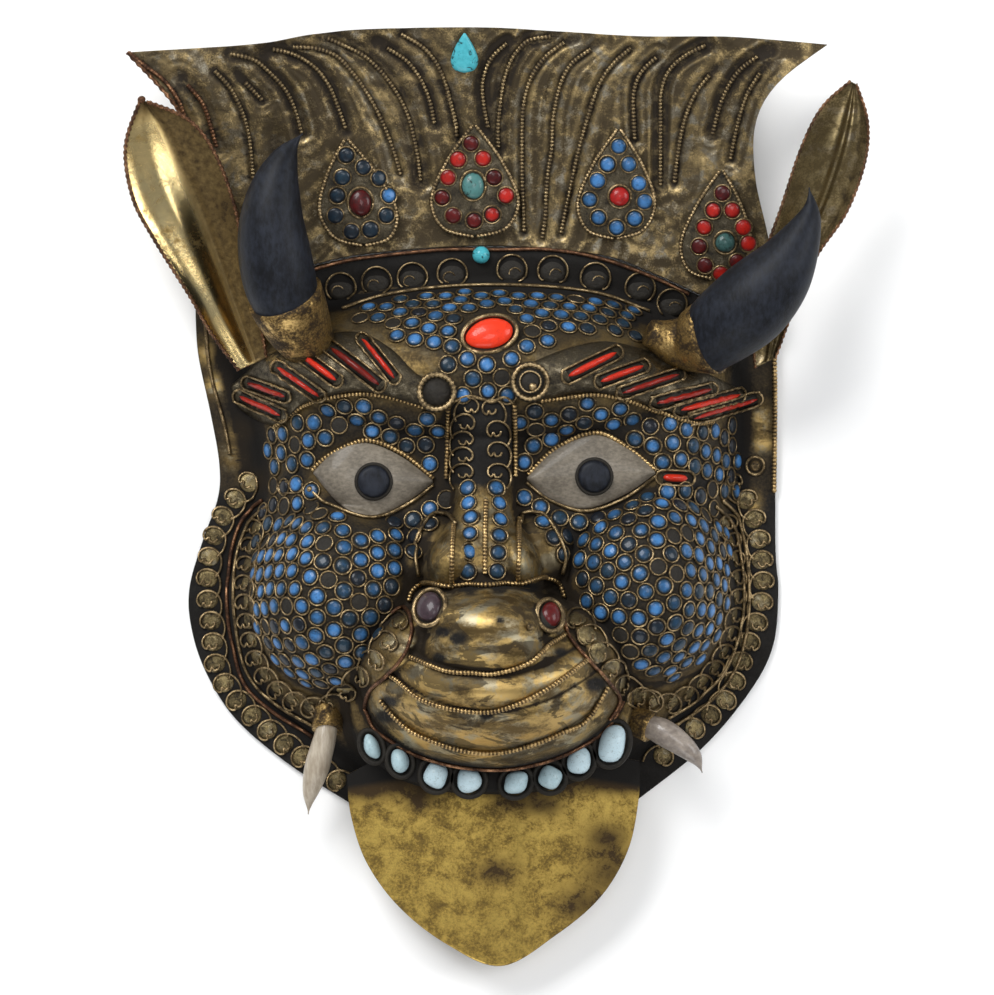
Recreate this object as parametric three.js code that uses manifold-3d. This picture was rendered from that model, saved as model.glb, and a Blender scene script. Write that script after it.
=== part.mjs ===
import * as THREE from 'three';
import { mergeVertices } from 'three/addons/utils/BufferGeometryUtils.js';
import Module from 'manifold-3d';

// A dance mask of a horned, tusked guardian in worked brass sheet with set stones.
// It lies on its back: +Y is up the face, +Z comes out of the face, the back rests on Z = 0.
// All sizes are millimetres.

const wasm = await Module();
wasm.setup();

// Sheet, gaps and the size of the facets
const WALL = 2.4;
const LEAF_WALL = 1.8;
const TONGUE_WALL = 1.6;
const GAP = 0.3;
const FACE_CELLS = 30;
const CENTRE_CROWDING = 0.03;
const CURVE_STEPS = 16;
const THINNEST_ROOM = 0.2;
const WALL_DIRECTIONS = 8;
const WALL_REACHES = [0.7, 0.98];

// Cutting blocks reach this far below the back and above the front
const BELOW = 5;
const TALL = 120;

// Heights of the face above its flat border
const BORDER_WIDTH = 15;
const BODY_HEIGHT = 36;
const BODY_REACH = 38;
const BAND_LIFT = 8;
const BAND_CLIMB = [55, 98];
const LEDGE_HEIGHT = 33;
const HOLLOW_INSET = 4;
const FOLD_HEIGHT = 1.5;
const FOLD_PITCH = 15;

// Sizes of the applied pieces
const EDGE_RISE = 1.3;
const BROW_RISE = 6;
const EYE_RISE = 7;
const PUPIL_RADIUS = 6.4;
const PENDANT_RISE = 3.2;
const CROWN_DROP_RISE = 2.6;
const CROWN_FLARE = 21;
const CROWN_FLUTES = 21;
const FLUTE_DEPTH = 2.6;
const TONGUE_ROOT_Y = -104;
const TONGUE_TIP_Y = -188;
const TONGUE_ROOT_Z = 27;
const TONGUE_TIP_Z = 19;

const { clamp, lerp, smoothstep } = THREE.MathUtils;

// A smooth curve through a few points, as a THREE curve
function curve(...points) {
  return new THREE.SplineCurve(points.map(([x, y]) => new THREE.Vector2(x, y)));
}

// The outline of the face sheet, in four runs that meet at its corners
const faceTop = curve([113, 66], [83, 80.5], [63, 89.5], [42, 96.8], [0, 100.5], [-46, 98], [-74, 92.8],
  [-121, 78]);
const faceLeft = curve([-121, 78], [-120, 58], [-115, 34], [-111.5, 14], [-112, 0], [-118, -17],
  [-123.4, -36], [-122.8, -52], [-117, -70], [-105, -89], [-84, -107], [-59, -123]);
const faceBottom = curve([-59, -123], [-30, -128], [0, -129.5], [30, -128], [56, -122.5]);
const faceRight = curve([56, -122.5], [83, -101], [102, -78.5], [111.5, -60], [113.7, -38], [112.5, -15],
  [113, 66]);

function runPoints(curves, steps) {
  return curves.flatMap((run) => run.getPoints(steps).slice(0, -1));
}

const faceOutline = runPoints([faceTop, faceLeft, faceBottom, faceRight], CURVE_STEPS);

// Distance from a point to the outline of the face, measured inwards
function insetAt(x, y) {
  let nearest = Infinity;
  faceOutline.forEach((start, index) => {
    const end = faceOutline[(index + 1) % faceOutline.length];
    const runX = end.x - start.x;
    const runY = end.y - start.y;
    const along = clamp(((x - start.x) * runX + (y - start.y) * runY) / (runX ** 2 + runY ** 2), 0, 1);
    nearest = Math.min(nearest, Math.hypot(x - start.x - along * runX, y - start.y - along * runY));
  });
  return nearest;
}

// A rounded swelling: full height at its centre, nothing at its oval edge
function dome(x, y, { at, half, height, fall }) {
  const inside = 1 - ((x - at[0]) / half[0]) ** 2 - ((y - at[1]) / half[1]) ** 2;
  return inside > 0 ? height * inside ** fall : 0;
}

const swellings = [
  { name: 'left cheek', at: [-63, -40], half: [37, 37], height: 20, fall: 0.75 },
  { name: 'right cheek', at: [64, -37], half: [36, 37], height: 20, fall: 0.75 },
  { name: 'forehead', at: [-2, 56], half: [90, 32], height: 14, fall: 0.8 },
  { name: 'left eye socket', at: [-49, 8], half: [32, 20], height: -5, fall: 1 },
  { name: 'right eye socket', at: [38, 9], half: [32, 20], height: -5, fall: 1 },
  { name: 'left nostril wing', at: [-24, -22], half: [13, 15], height: 9, fall: 0.8 },
  { name: 'right nostril wing', at: [17, -22], half: [13, 15], height: 9, fall: 0.8 },
  { name: 'left nostril', at: [-26, -44], half: [9.5, 10], height: 5, fall: 0.7 },
  { name: 'right nostril', at: [21, -47], half: [9, 9], height: 5, fall: 0.7 },
];

const muzzle = { at: [-1.6, -72], half: [53, 37], height: 50, fall: 0.7 };
const ledge = { at: [-2, -72], half: [62, 50], roundness: 2.6, steepness: 11 };
const noseLine = -5;

// The ridge of the nose rises from between the brows to the muzzle and dies out on it
function noseHeight(x, y) {
  const halfWidth = lerp(9, 24, 1 - smoothstep(y, -30, -2));
  const across = 1 - ((x - noseLine) / halfWidth) ** 2;
  const rise = 10 * (1 - smoothstep(y, 20, 45)) + 18 * (1 - smoothstep(y, -28, 15));
  const fade = smoothstep(y, -72, -38);
  return across > 0 ? rise * fade * across ** 0.8 : 0;
}

// The muzzle carries smile-shaped folds below the nostrils
function muzzleHeight(x, y) {
  const height = dome(x, y, muzzle);
  const along = y - 0.009 * (x + 2) ** 2;
  const fold = Math.cos((2 * Math.PI * (along + 77)) / FOLD_PITCH);
  const share = Math.sqrt(height / muzzle.height) * (1 - smoothstep(y, -62, -50));
  return height + FOLD_HEIGHT * fold * share;
}

// The ledge under the lower lip is the dark bed of the teeth
function ledgeHeight(x, y) {
  const acrossShare = Math.abs((x - ledge.at[0]) / ledge.half[0]) ** ledge.roundness;
  const downShare = Math.abs((y - ledge.at[1]) / ledge.half[1]) ** ledge.roundness;
  const reach = (acrossShare + downShare) ** (1 / ledge.roundness);
  return LEDGE_HEIGHT * clamp((1 - reach) * ledge.steepness, 0, 1);
}

// Height of the outer surface of the face sheet
function faceHeight(x, y) {
  const inset = insetAt(x, y);
  const climb = clamp((inset - BORDER_WIDTH) / BODY_REACH, 0, 1);
  const body = BODY_HEIGHT * (1 - (1 - climb) ** 2.2);
  const relief = swellings.reduce((sum, form) => sum + dome(x, y, form), 0);
  const gate = smoothstep(inset, 1.5, 7);
  const lift = BAND_LIFT * smoothstep(y, ...BAND_CLIMB);
  const front = Math.max(body + relief, ledgeHeight(x, y)) + muzzleHeight(x, y) + noseHeight(x, y);
  return WALL + lift + gate * front;
}

// The inner surface lies one wall inside the outer one, measured in every direction
function hollowHeight(x, y) {
  let lowest = faceHeight(x, y) - WALL;
  for (let turn = 0; turn < WALL_DIRECTIONS; turn += 1) {
    const angle = (2 * Math.PI * turn) / WALL_DIRECTIONS;
    for (const share of WALL_REACHES) {
      const reach = share * WALL;
      const drop = Math.sqrt(WALL ** 2 - reach ** 2);
      const outer = faceHeight(x + reach * Math.cos(angle), y + reach * Math.sin(angle));
      lowest = Math.min(lowest, outer - drop);
    }
  }
  return lowest;
}

function toSolid(geometry) {
  geometry.deleteAttribute('normal');
  geometry.deleteAttribute('uv');
  const merged = mergeVertices(geometry, 1e-4);
  return new wasm.Manifold(new wasm.Mesh({
    numProp: 3,
    vertProperties: new Float32Array(merged.attributes.position.array),
    triVerts: new Uint32Array(merged.index.array),
  }));
}

// A closed block on a grid: place(u, v) gives x and y, top and floor give the heights
function gridBlock(columns, rows, place, top, floor) {
  const positions = [];
  for (const level of [top, floor]) {
    for (let row = 0; row <= rows; row += 1) {
      for (let column = 0; column <= columns; column += 1) {
        const u = column / columns;
        const v = row / rows;
        const [x, y] = place(u, v);
        positions.push(x, y, level(x, y, u, v));
      }
    }
  }
  const stride = columns + 1;
  const layer = stride * (rows + 1);
  const faces = [];
  for (let row = 0; row < rows; row += 1) {
    for (let column = 0; column < columns; column += 1) {
      const a = row * stride + column;
      const b = a + 1;
      const c = b + stride;
      const d = a + stride;
      faces.push(a, b, c, a, c, d);
      faces.push(layer + a, layer + c, layer + b, layer + a, layer + d, layer + c);
    }
  }
  const edge = [];
  for (let column = 0; column < columns; column += 1) edge.push(column);
  for (let row = 0; row < rows; row += 1) edge.push(row * stride + columns);
  for (let column = columns; column > 0; column -= 1) edge.push(rows * stride + column);
  for (let row = rows; row > 0; row -= 1) edge.push(row * stride);
  edge.forEach((p, index) => {
    const q = edge[(index + 1) % edge.length];
    faces.push(layer + p, layer + q, q, layer + p, q, p);
  });
  const geometry = new THREE.BufferGeometry();
  geometry.setAttribute('position', new THREE.Float32BufferAttribute(positions, 3));
  geometry.setIndex(faces);
  return toSolid(geometry);
}

// An upright block of the given outline
function prism(points, low, high) {
  const geometry = new THREE.ExtrudeGeometry(new THREE.Shape(points), {
    depth: high - low,
    bevelEnabled: false,
  });
  geometry.translate(0, 0, low);
  return toSolid(geometry);
}

// The outline moved inwards by a distance; the points run anticlockwise
function insetOutline(points, distance) {
  return points.map((point, index) => {
    const before = points[(index + points.length - 1) % points.length];
    const after = points[(index + 1) % points.length];
    const along = after.clone().sub(before).normalize();
    return new THREE.Vector2(point.x - along.y * distance, point.y + along.x * distance);
  });
}

// Grid places between a lower and an upper edge
function between(lower, upper) {
  return (u, v) => {
    const low = lower.getPoint(u);
    const high = upper.getPoint(u);
    return [lerp(low.x, high.x, v), lerp(low.y, high.y, v)];
  };
}

// Grid places inside four curved edges; bottom and top run left to right, the sides run upwards
function patch(bottom, top, left, right) {
  return (u, v) => {
    const b = bottom.getPoint(u);
    const t = top.getPoint(u);
    const l = left.getPoint(v);
    const r = right.getPoint(v);
    const corner = (axis) => lerp(
      lerp(bottom.getPoint(0)[axis], bottom.getPoint(1)[axis], u),
      lerp(top.getPoint(0)[axis], top.getPoint(1)[axis], u),
      v,
    );
    return ['x', 'y'].map((axis) => lerp(b[axis], t[axis], v) + lerp(l[axis], r[axis], u) - corner(axis));
  };
}

// A piece that sits on others: what carries it is cut away, with a narrow gap, and no crumb is kept
function seat(piece, ...carriers) {
  const cut = carriers.reduce((solid, carrier) => solid.subtract(carrier.translate([0, 0, GAP])), piece);
  return mainBody(cut);
}

function mainBody(solid) {
  return solid.decompose().sort((a, b) => b.volume() - a.volume())[0];
}

// A round bar along a path of [x, y, z, radius] stations; a last radius of 0 makes a point
function taperedBar(stations, sides, rings, grow = 0) {
  const path = new THREE.CatmullRomCurve3(stations.map(([x, y, z]) => new THREE.Vector3(x, y, z)));
  const widths = new THREE.SplineCurve(stations.map((station, i) => new THREE.Vector2(i, station[3])));
  const frames = path.computeFrenetFrames(rings, false);
  const pointed = stations.at(-1)[3] === 0;
  const positions = [];
  const lastRing = pointed ? rings - 1 : rings;
  for (let ring = 0; ring <= lastRing; ring += 1) {
    const share = ring / rings;
    const centre = path.getPointAt(share);
    const radius = widths.getPoint(share).y + grow;
    for (let side = 0; side < sides; side += 1) {
      const angle = (2 * Math.PI * side) / sides;
      const point = centre.clone()
        .addScaledVector(frames.normals[ring], radius * Math.cos(angle))
        .addScaledVector(frames.binormals[ring], radius * Math.sin(angle));
      positions.push(...point);
    }
  }
  const foot = positions.length / 3;
  positions.push(...path.getPointAt(0));
  positions.push(...path.getPointAt(1));
  const faces = [];
  for (let side = 0; side < sides; side += 1) {
    const next = (side + 1) % sides;
    for (let ring = 0; ring < lastRing; ring += 1) {
      const a = ring * sides;
      const b = a + sides;
      faces.push(a + side, a + next, b + next, a + side, b + next, b + side);
    }
    faces.push(foot, next, side);
    faces.push(foot + 1, lastRing * sides + side, lastRing * sides + next);
  }
  const geometry = new THREE.BufferGeometry();
  geometry.setAttribute('position', new THREE.Float32BufferAttribute(positions, 3));
  geometry.setIndex(faces);
  return toSolid(geometry);
}

// A smooth pebble: half sizes, place and a turn in the plane of the face
function pebble(at, half, turn, detailAround, detailDown) {
  const geometry = new THREE.SphereGeometry(1, detailAround, detailDown);
  geometry.scale(...half);
  geometry.rotateZ(turn);
  geometry.translate(...at);
  return toSolid(geometry);
}

const group = new THREE.Group();
group.name = 'cham_mask';

const finishes = {
  patinated_brass: { color: 0x7c6a3d, roughness: 0.45, metalness: 0.9 },
  bright_brass: { color: 0xb08a36, roughness: 0.35, metalness: 1.0 },
  black_horn: { color: 0x1b1d24, roughness: 0.4, metalness: 0.0 },
  bone: { color: 0x8f877a, roughness: 0.6, metalness: 0.0 },
  tusk: { color: 0xa99c88, roughness: 0.5, metalness: 0.0 },
  pale_stone: { color: 0xbcd6dc, roughness: 0.3, metalness: 0.0 },
  coral: { color: 0xe23a1c, roughness: 0.35, metalness: 0.0 },
  turquoise: { color: 0x2fb7cf, roughness: 0.4, metalness: 0.0 },
};

const materials = Object.fromEntries(
  Object.entries(finishes).map(([name, look]) => [name, new THREE.MeshStandardMaterial({ name, ...look })]),
);

// Adds one solid to the mask as a named mesh
function addPiece(name, solid, finish) {
  const { vertProperties, triVerts } = solid.getMesh();
  const geometry = new THREE.BufferGeometry();
  geometry.setAttribute('position', new THREE.Float32BufferAttribute(vertProperties, 3));
  geometry.setIndex([...triVerts]);
  geometry.computeVertexNormals();
  const mesh = new THREE.Mesh(geometry, materials[finish]);
  mesh.name = name;
  group.add(mesh);
}

// The face: a block under the modelled surface, hollowed from behind
const FACE_BOX = { left: -126, right: 118, low: -132, high: 104 };

// The grid lines crowd together towards the middle, where the features are
function crowd(share) {
  return share + CENTRE_CROWDING * Math.sin(2 * Math.PI * share);
}

function facePlace(u, v) {
  return [lerp(FACE_BOX.left, FACE_BOX.right, crowd(u)), lerp(FACE_BOX.low, FACE_BOX.high, crowd(v))];
}

// The hollow shares the grid lines of the outside, so its facets never come through the wall
function hollowLevel(x, y) {
  const level = hollowHeight(x, y);
  return level > THINNEST_ROOM ? level : -1;
}

const faceBlock = gridBlock(FACE_CELLS, FACE_CELLS, facePlace, faceHeight, () => 0)
  .intersect(prism(faceOutline, -BELOW, TALL));
const hollow = gridBlock(FACE_CELLS, FACE_CELLS, facePlace, hollowLevel, () => -BELOW)
  .intersect(prism(insetOutline(faceOutline, HOLLOW_INSET), -2 * BELOW, TALL));
addPiece('face_shell', faceBlock.subtract(hollow), 'patinated_brass');

// The crown: a fluted sheet that spreads and leans forward towards its top edge
const crownForm = {
  footY: 100,
  footArch: 0.0032,
  tall: 92,
  footZ: 7,
  bow: 3.4,
  halfWidth: 118,
  lean: 1.4,
  mostClimb: 1.2,
};

function crownLevel(x, y) {
  const foot = crownForm.footY - crownForm.footArch * x ** 2;
  const climb = clamp((y - foot) / crownForm.tall, 0, crownForm.mostClimb);
  const bow = crownForm.bow * (1 - (x / crownForm.halfWidth) ** 2);
  return crownForm.footZ + bow + CROWN_FLARE * climb ** crownForm.lean;
}

function crownTop(x, y, u) {
  const flute = Math.abs(Math.sin(Math.PI * CROWN_FLUTES * u));
  return crownLevel(x, y) + FLUTE_DEPTH * (flute - 0.5);
}

// The crown's lower edge follows the top edge of the face at a narrow gap
const crownBottom = curve(...[[-120.5, 78.4], [-74, 92.8], [-46, 98], [0, 100.5], [42, 96.8], [63, 89.5],
  [83, 80.5], [112, 66.8]].map(([x, y]) => [x, y + 2 * GAP]));
const crownUpper = curve([-147.5, 178], [-98, 181], [-74, 185], [-50, 187.3], [-6, 188], [26, 186.4],
  [58, 184.4], [94, 184], [132.5, 181]);
const crownLeft = curve([-120.5, 79], [-117, 105], [-119, 136], [-124, 150], [-132.5, 162], [-147.5, 178]);
const crownRight = curve([112, 67.5], [110, 100], [104, 128], [104, 150], [113, 166], [132.5, 181]);
const crownPlace = patch(crownBottom, crownUpper, crownLeft, crownRight);
const crownBlock = gridBlock(3 * CROWN_FLUTES, 4, crownPlace, crownTop, () => 0);
const CROWN_BOX = { left: -160, right: 145, low: 60, high: 196 };
const CROWN_BACK_CELLS = [12, 10];
const crownBack = gridBlock(
  ...CROWN_BACK_CELLS,
  (u, v) => [lerp(CROWN_BOX.left, CROWN_BOX.right, u), lerp(CROWN_BOX.low, CROWN_BOX.high, v)],
  (x, y) => crownLevel(x, y) - WALL,
  () => -BELOW,
);
addPiece('crown_plate', crownBlock.subtract(crownBack), 'patinated_brass');

// The brows: raised plates with a pointed outer end and a curl beside the nose
function onFace(rise, bulge) {
  return (x, y, u, v) => {
    const swell = Math.sin(Math.PI * v) * Math.sqrt(Math.sin(Math.PI * u));
    return faceHeight(x, y) + EDGE_RISE + (rise - EDGE_RISE) * Math.max(swell, 0) ** bulge;
  };
}

const browEdges = {
  brow_left: {
    lower: curve([-106.5, 43.5], [-102.5, 35], [-88, 29], [-75.5, 37.5], [-53, 42], [-28, 36], [-17, 40]),
    upper: curve([-106.5, 45.5], [-91, 57], [-70, 64.5], [-55, 66], [-42, 59.5], [-31, 49], [-17, 43]),
  },
  brow_right: {
    lower: curve([7, 44], [15, 38.5], [38, 42], [63, 36], [84, 30.5], [105, 38.5]),
    upper: curve([7, 48], [15, 54], [34, 61], [50, 61.5], [78, 52.5], [105, 40.5]),
  },
};
const browBlocks = Object.entries(browEdges).map(([name, { lower, upper }]) => {
  const block = gridBlock(12, 3, between(lower, upper), onFace(BROW_RISE, 0.5), () => 0);
  addPiece(name, seat(block, faceBlock), 'patinated_brass');
  return block;
});

// The eyes: domed almonds of bone, each with a round dark stud
const eyes = {
  left: {
    lower: curve([-73, 9.5], [-62, -3], [-49.5, -7.6], [-36, -2], [-25.2, 5.9]),
    upper: curve([-73, 10.5], [-64, 19], [-52, 22], [-38, 16.5], [-25.2, 6.9]),
    pupil: [-48.8, 6.4],
  },
  right: {
    lower: curve([12.4, 7.1], [22, -1], [36, -4.4], [52, 1.5], [63.6, 9.5]),
    upper: curve([12.4, 8.1], [24, 19.5], [40, 25.2], [54, 19], [63.6, 10.5]),
    pupil: [39.2, 8.4],
  },
};
const pupilStud = { bevel: 1.2, rise: 2.6, root: 5 };
for (const [side, { lower, upper, pupil }] of Object.entries(eyes)) {
  const block = gridBlock(8, 4, between(lower, upper), onFace(EYE_RISE, 0.8), () => 0);
  addPiece(`eye_${side}`, seat(block, faceBlock), 'bone');
  const level = faceHeight(...pupil) + EYE_RISE;
  const { bevel, rise, root } = pupilStud;
  const shoulder = PUPIL_RADIUS - bevel;
  const profile = [[0, -root], [PUPIL_RADIUS, -root], [PUPIL_RADIUS, rise - bevel], [shoulder, rise], [0, rise]];
  const stud = new THREE.LatheGeometry(profile.map(([r, z]) => new THREE.Vector2(r, z)), 14);
  stud.rotateX(Math.PI / 2);
  stud.translate(...pupil, level);
  addPiece(`pupil_${side}`, seat(toSolid(stud), block), 'black_horn');
}

// The stones on the face: one oval coral and a stone in each nostril
function addStone(name, [x, y], half, turn, finish, level, ...carriers) {
  const stone = pebble([x, y, level], half, turn, 10, 6);
  addPiece(name, seat(stone, ...carriers), finish);
}
function addFaceStone(name, at, half, turn) {
  addStone(name, at, half, turn, 'coral', faceHeight(...at), faceBlock);
}
addFaceStone('forehead_coral', [-2.6, 65], [11, 6.3, 4.5], 0.22);
addFaceStone('nostril_stone_left', [-26, -43.6], [5.4, 6.4, 3], 0.3);
addFaceStone('nostril_stone_right', [21.2, -46.8], [4.2, 5.4, 3], -0.2);

// The teeth: eight pale pebbles in the dark ledge
const teeth = [
  { at: [-49.6, -99.5], half: [3, 5.2], turn: 0.4 },
  { at: [-38.4, -105.2], half: [3.6, 4.9], turn: 0.3 },
  { at: [-24, -110.8], half: [4.9, 5.4], turn: 0.2 },
  { at: [-10.8, -112.8], half: [5.2, 5.1], turn: 0 },
  { at: [8, -113.8], half: [5.2, 4.4], turn: 0.5 },
  { at: [21.6, -111.8], half: [4.8, 4.7], turn: -0.3 },
  { at: [33.2, -105.2], half: [4.7, 5.6], turn: -0.3 },
  { at: [46.4, -98.4], half: [5.4, 7.8], turn: -0.3 },
];
teeth.forEach(({ at: [x, y], half, turn }, index) => {
  const level = ledgeHeight(x, y) + WALL;
  const tooth = pebble([x, y, level + 1], [...half, 5], turn, 7, 4);
  addPiece(`tooth_${index + 1}`, seat(tooth, faceBlock), 'pale_stone');
});

// The tongue: a flat sheet that comes out below the teeth, with a slight crease down it
const crease = { x: 3.6, halfWidth: 7, depth: 1.2 };

function tongueLevel(x, y) {
  const down = (TONGUE_ROOT_Y - y) / (TONGUE_ROOT_Y - TONGUE_TIP_Y);
  const dip = crease.depth * Math.exp(-(((x - crease.x) / crease.halfWidth) ** 2));
  return lerp(TONGUE_ROOT_Z, TONGUE_TIP_Z, down) - dip;
}
const tongueLower = curve([-59.6, -112], [-58.2, -127], [-52, -146], [-39, -164], [-20, -179],
  [2, TONGUE_TIP_Y], [24, -175.5], [42, -160], [53, -141], [57.2, -120], [57.4, -106.4]);
const tongueUpper = curve([-59.6, -111], [-40, TONGUE_ROOT_Y], [0, -110], [40, TONGUE_ROOT_Y], [57.4, -105.4]);
const tongueSheet = gridBlock(
  14,
  2,
  between(tongueLower, tongueUpper),
  tongueLevel,
  (x, y) => tongueLevel(x, y) - TONGUE_WALL,
);
addPiece('tongue', seat(tongueSheet, faceBlock.translate([0, -GAP, 0])), 'bright_brass');

// The tusks stand in small collars at the corners of the mouth
const tusks = {
  left: {
    bar: [[-67.4, -91, 25, 4.2], [-69, -98, 26, 4.8], [-72, -109, 25, 4.9], [-74.5, -119, 22, 3.2],
      [-75.3, -127, 19, 0]],
    collar: [[-67, -84, 21, 5.6], [-67.6, -93, 25.3, 6.2]],
  },
  right: {
    bar: [[60, -91, 27, 4.4], [67, -94, 30, 5.4], [75, -99.4, 32, 4.8], [80, -104.5, 32, 3.2],
      [82.5, -110, 30, 0]],
    collar: [[54, -88.6, 24, 5.8], [62, -92, 28, 6.3]],
  },
};

// The horns stand in cone-shaped collars at the corners of the forehead
const horns = {
  left: {
    bar: [[-82, 75, 46, 13.2], [-86, 86, 49, 14.6], [-88.8, 102, 52, 14.4], [-89, 114, 54, 12.8],
      [-86.8, 127, 55, 10], [-82.5, 137.6, 55, 5.6], [-76.8, 144.8, 55, 0]],
    collar: [[-73, 58, 34, 10], [-79, 69, 41, 13.5], [-84, 80, 47.4, 15.4]],
  },
  right: {
    bar: [[82, 61, 38, 13.4], [91, 68.5, 44, 15.6], [101.4, 77, 49, 16.4], [113, 89.6, 53, 14.6],
      [121, 103, 55, 10.5], [125, 114, 56, 5.6], [124.4, 123.2, 56, 0]],
    collar: [[61, 66, 38, 5.4], [73, 62, 35, 11], [86, 64.4, 40.6, 15.4]],
  },
};

function addSocketed(label, side, { bar, collar }, finish, [sides, rings], carriers) {
  const solid = taperedBar(bar, sides, rings);
  const room = taperedBar(bar, sides, rings, GAP);
  const cup = taperedBar(collar, sides, 3).subtract(room);
  addPiece(`${label}_socket_${side}`, seat(cup, ...carriers), 'bright_brass');
  addPiece(`${label}_${side}`, seat(solid, ...carriers), finish);
}
for (const side of ['left', 'right']) {
  addSocketed('horn', side, horns[side], 'black_horn', [10, 10], [faceBlock, ...browBlocks]);
  addSocketed('tusk', side, tusks[side], side === 'left' ? 'tusk' : 'bone', [8, 6], [faceBlock]);
}

// The ears: hollow leaves of thin sheet that stand beside the horns
const ears = {
  ear_left: {
    inner: curve([-92, 56], [-95, 74], [-101, 96], [-104, 115], [-112, 137], [-122.5, 150.5], [-139, 157.6]),
    outer: curve([-103, 51], [-114, 66], [-122, 80], [-137, 104], [-145, 120], [-147.6, 140], [-141.5, 158.4]),
    foot: 26,
    tip: 50,
    depth: 8,
  },
  ear_right: {
    outer: curve([104, 52], [103, 70], [107, 95], [114, 116], [122, 140], [130, 155.5], [141, 165.6]),
    inner: curve([112, 56], [119, 75], [128, 96], [140, 114], [147.2, 134], [148, 150], [143.4, 164.4]),
    foot: 20,
    tip: 52,
    depth: 8,
  },
};
for (const [name, { inner, outer, foot, tip, depth }] of Object.entries(ears)) {
  const level = (x, y, u, v) => {
    const dip = Math.max(Math.sin(Math.PI * v) * Math.sin(Math.PI * u) ** 0.6, 0);
    return lerp(foot, tip, u) - depth * dip;
  };
  const leaf = gridBlock(10, 4, between(inner, outer), level, (x, y, u, v) => level(x, y, u, v) - LEAF_WALL);
  addPiece(name, seat(leaf, faceBlock, ...browBlocks), 'bright_brass');
}

// The crown's stones and drop-shaped plaques; a drop's edge as shares of its half width and its height
const DROP_EDGE = [[0.02, 0], [0.72, 0.08], [1, 0.33], [0.62, 0.68], [0.02, 1]];

function dropEdges([footX, footY], [apexX, apexY], halfWidth) {
  const edge = (sign) => curve(
    ...DROP_EDGE.map(([wide, up]) => [
      lerp(footX, apexX, up) + sign * (wide * halfWidth + GAP),
      lerp(footY, apexY, up),
    ]),
  );
  return { lower: edge(1), upper: edge(-1) };
}

function addPlaque(name, foot, apex, halfWidth, rise, finish, [columns, rows]) {
  const { lower, upper } = dropEdges(foot, apex, halfWidth);
  const under = (x, y) => crownLevel(x, y) + FLUTE_DEPTH / 2 + 2 * GAP;
  const top = (x, y, u, v) => {
    const swell = Math.sqrt(Math.max(Math.sin(Math.PI * v) * Math.sin(Math.PI * u), 0));
    return under(x, y) + rise * (0.4 + 0.6 * swell);
  };
  addPiece(name, gridBlock(columns, rows, between(lower, upper), top, under), finish);
}
const plaques = [
  { foot: [-53.2, 101.2], apex: [-60, 143.5], halfWidth: 16 },
  { foot: [-8.4, 104.8], apex: [-8.8, 149], halfWidth: 18 },
  { foot: [47.8, 104], apex: [49.2, 147.5], halfWidth: 16 },
  { foot: [87.2, 88], apex: [90.4, 131], halfWidth: 14.5 },
];
plaques.forEach(({ foot, apex, halfWidth }, index) => {
  addPlaque(`pendant_${index + 1}`, foot, apex, halfWidth, PENDANT_RISE, 'patinated_brass', [6, 4]);
});
addPlaque('crown_drop', [-12.6, 170], [-12.6, 185.6], 5.2, CROWN_DROP_RISE, 'turquoise', [4, 2]);
addStone('crown_round', [-6, 97.5], [3.5, 3.5, 3], 0, 'turquoise', WALL + BAND_LIFT + 1, faceBlock, crownBlock);

export default group;
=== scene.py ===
# %% [markdown]
# A guardian dance mask in worked brass, made piece by piece.
# The real mask is beaten brass sheet over a bed of pitch, with stones set in small rings and with
# beaded wires laid over every edge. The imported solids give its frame: each piece made here keeps the
# form and the place of the solid that it stands for, and adds the surface that a goldsmith gave it.

# %% Load the frame
import math
import random

import bpy
import numpy as np
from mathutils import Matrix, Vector


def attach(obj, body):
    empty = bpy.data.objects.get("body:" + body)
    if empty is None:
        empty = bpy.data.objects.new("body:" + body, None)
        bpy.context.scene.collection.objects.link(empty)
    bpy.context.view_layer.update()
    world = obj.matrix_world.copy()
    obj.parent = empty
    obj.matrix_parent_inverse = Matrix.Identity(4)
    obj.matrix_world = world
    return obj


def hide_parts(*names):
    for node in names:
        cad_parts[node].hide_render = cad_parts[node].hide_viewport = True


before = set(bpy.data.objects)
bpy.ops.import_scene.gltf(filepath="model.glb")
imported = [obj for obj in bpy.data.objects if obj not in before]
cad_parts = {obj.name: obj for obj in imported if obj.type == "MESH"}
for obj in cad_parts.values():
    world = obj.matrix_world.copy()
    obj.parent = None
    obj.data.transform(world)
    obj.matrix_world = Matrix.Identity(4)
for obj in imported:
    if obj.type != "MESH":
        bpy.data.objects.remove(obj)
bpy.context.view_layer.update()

print("nodes in the frame:", len(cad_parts))

# %% [markdown]
# Sizes. The shapes are worked out in millimetres and become metres when a mesh is made, so that every
# number can be read like a drawing. Places that were read off the photograph are kept in its pixels,
# and one function turns them to millimetres on the mask.

# %% Units and places
MM = 0.001
PIXEL = 0.4
PHOTO_WIDTH = 994
PHOTO_MIDDLE = (496, 497)


def places(*pixels):
    """Places read off the photograph, in pixels, as millimetres on the mask."""
    return [((x - PHOTO_MIDDLE[0]) * PIXEL, (PHOTO_MIDDLE[1] - y) * PIXEL) for x, y in pixels]


def smoothstep(value, low, high):
    share = np.clip((value - low) / (high - low), 0, 1)
    return share * share * (3 - 2 * share)


def lerp(low, high, share):
    return low + (high - low) * share

# %% [markdown]
# The camera and the light. The mask lies on its back on a pale table, and the camera looks straight
# down on it from far above, as the photograph does. Metal shows only what it mirrors, so a few large
# soft lights stand round it over a dim pale room.

# %% Camera
CAMERA_HEIGHT = 4000
SHARP_LEVEL = 30
SENSOR = 36

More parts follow.
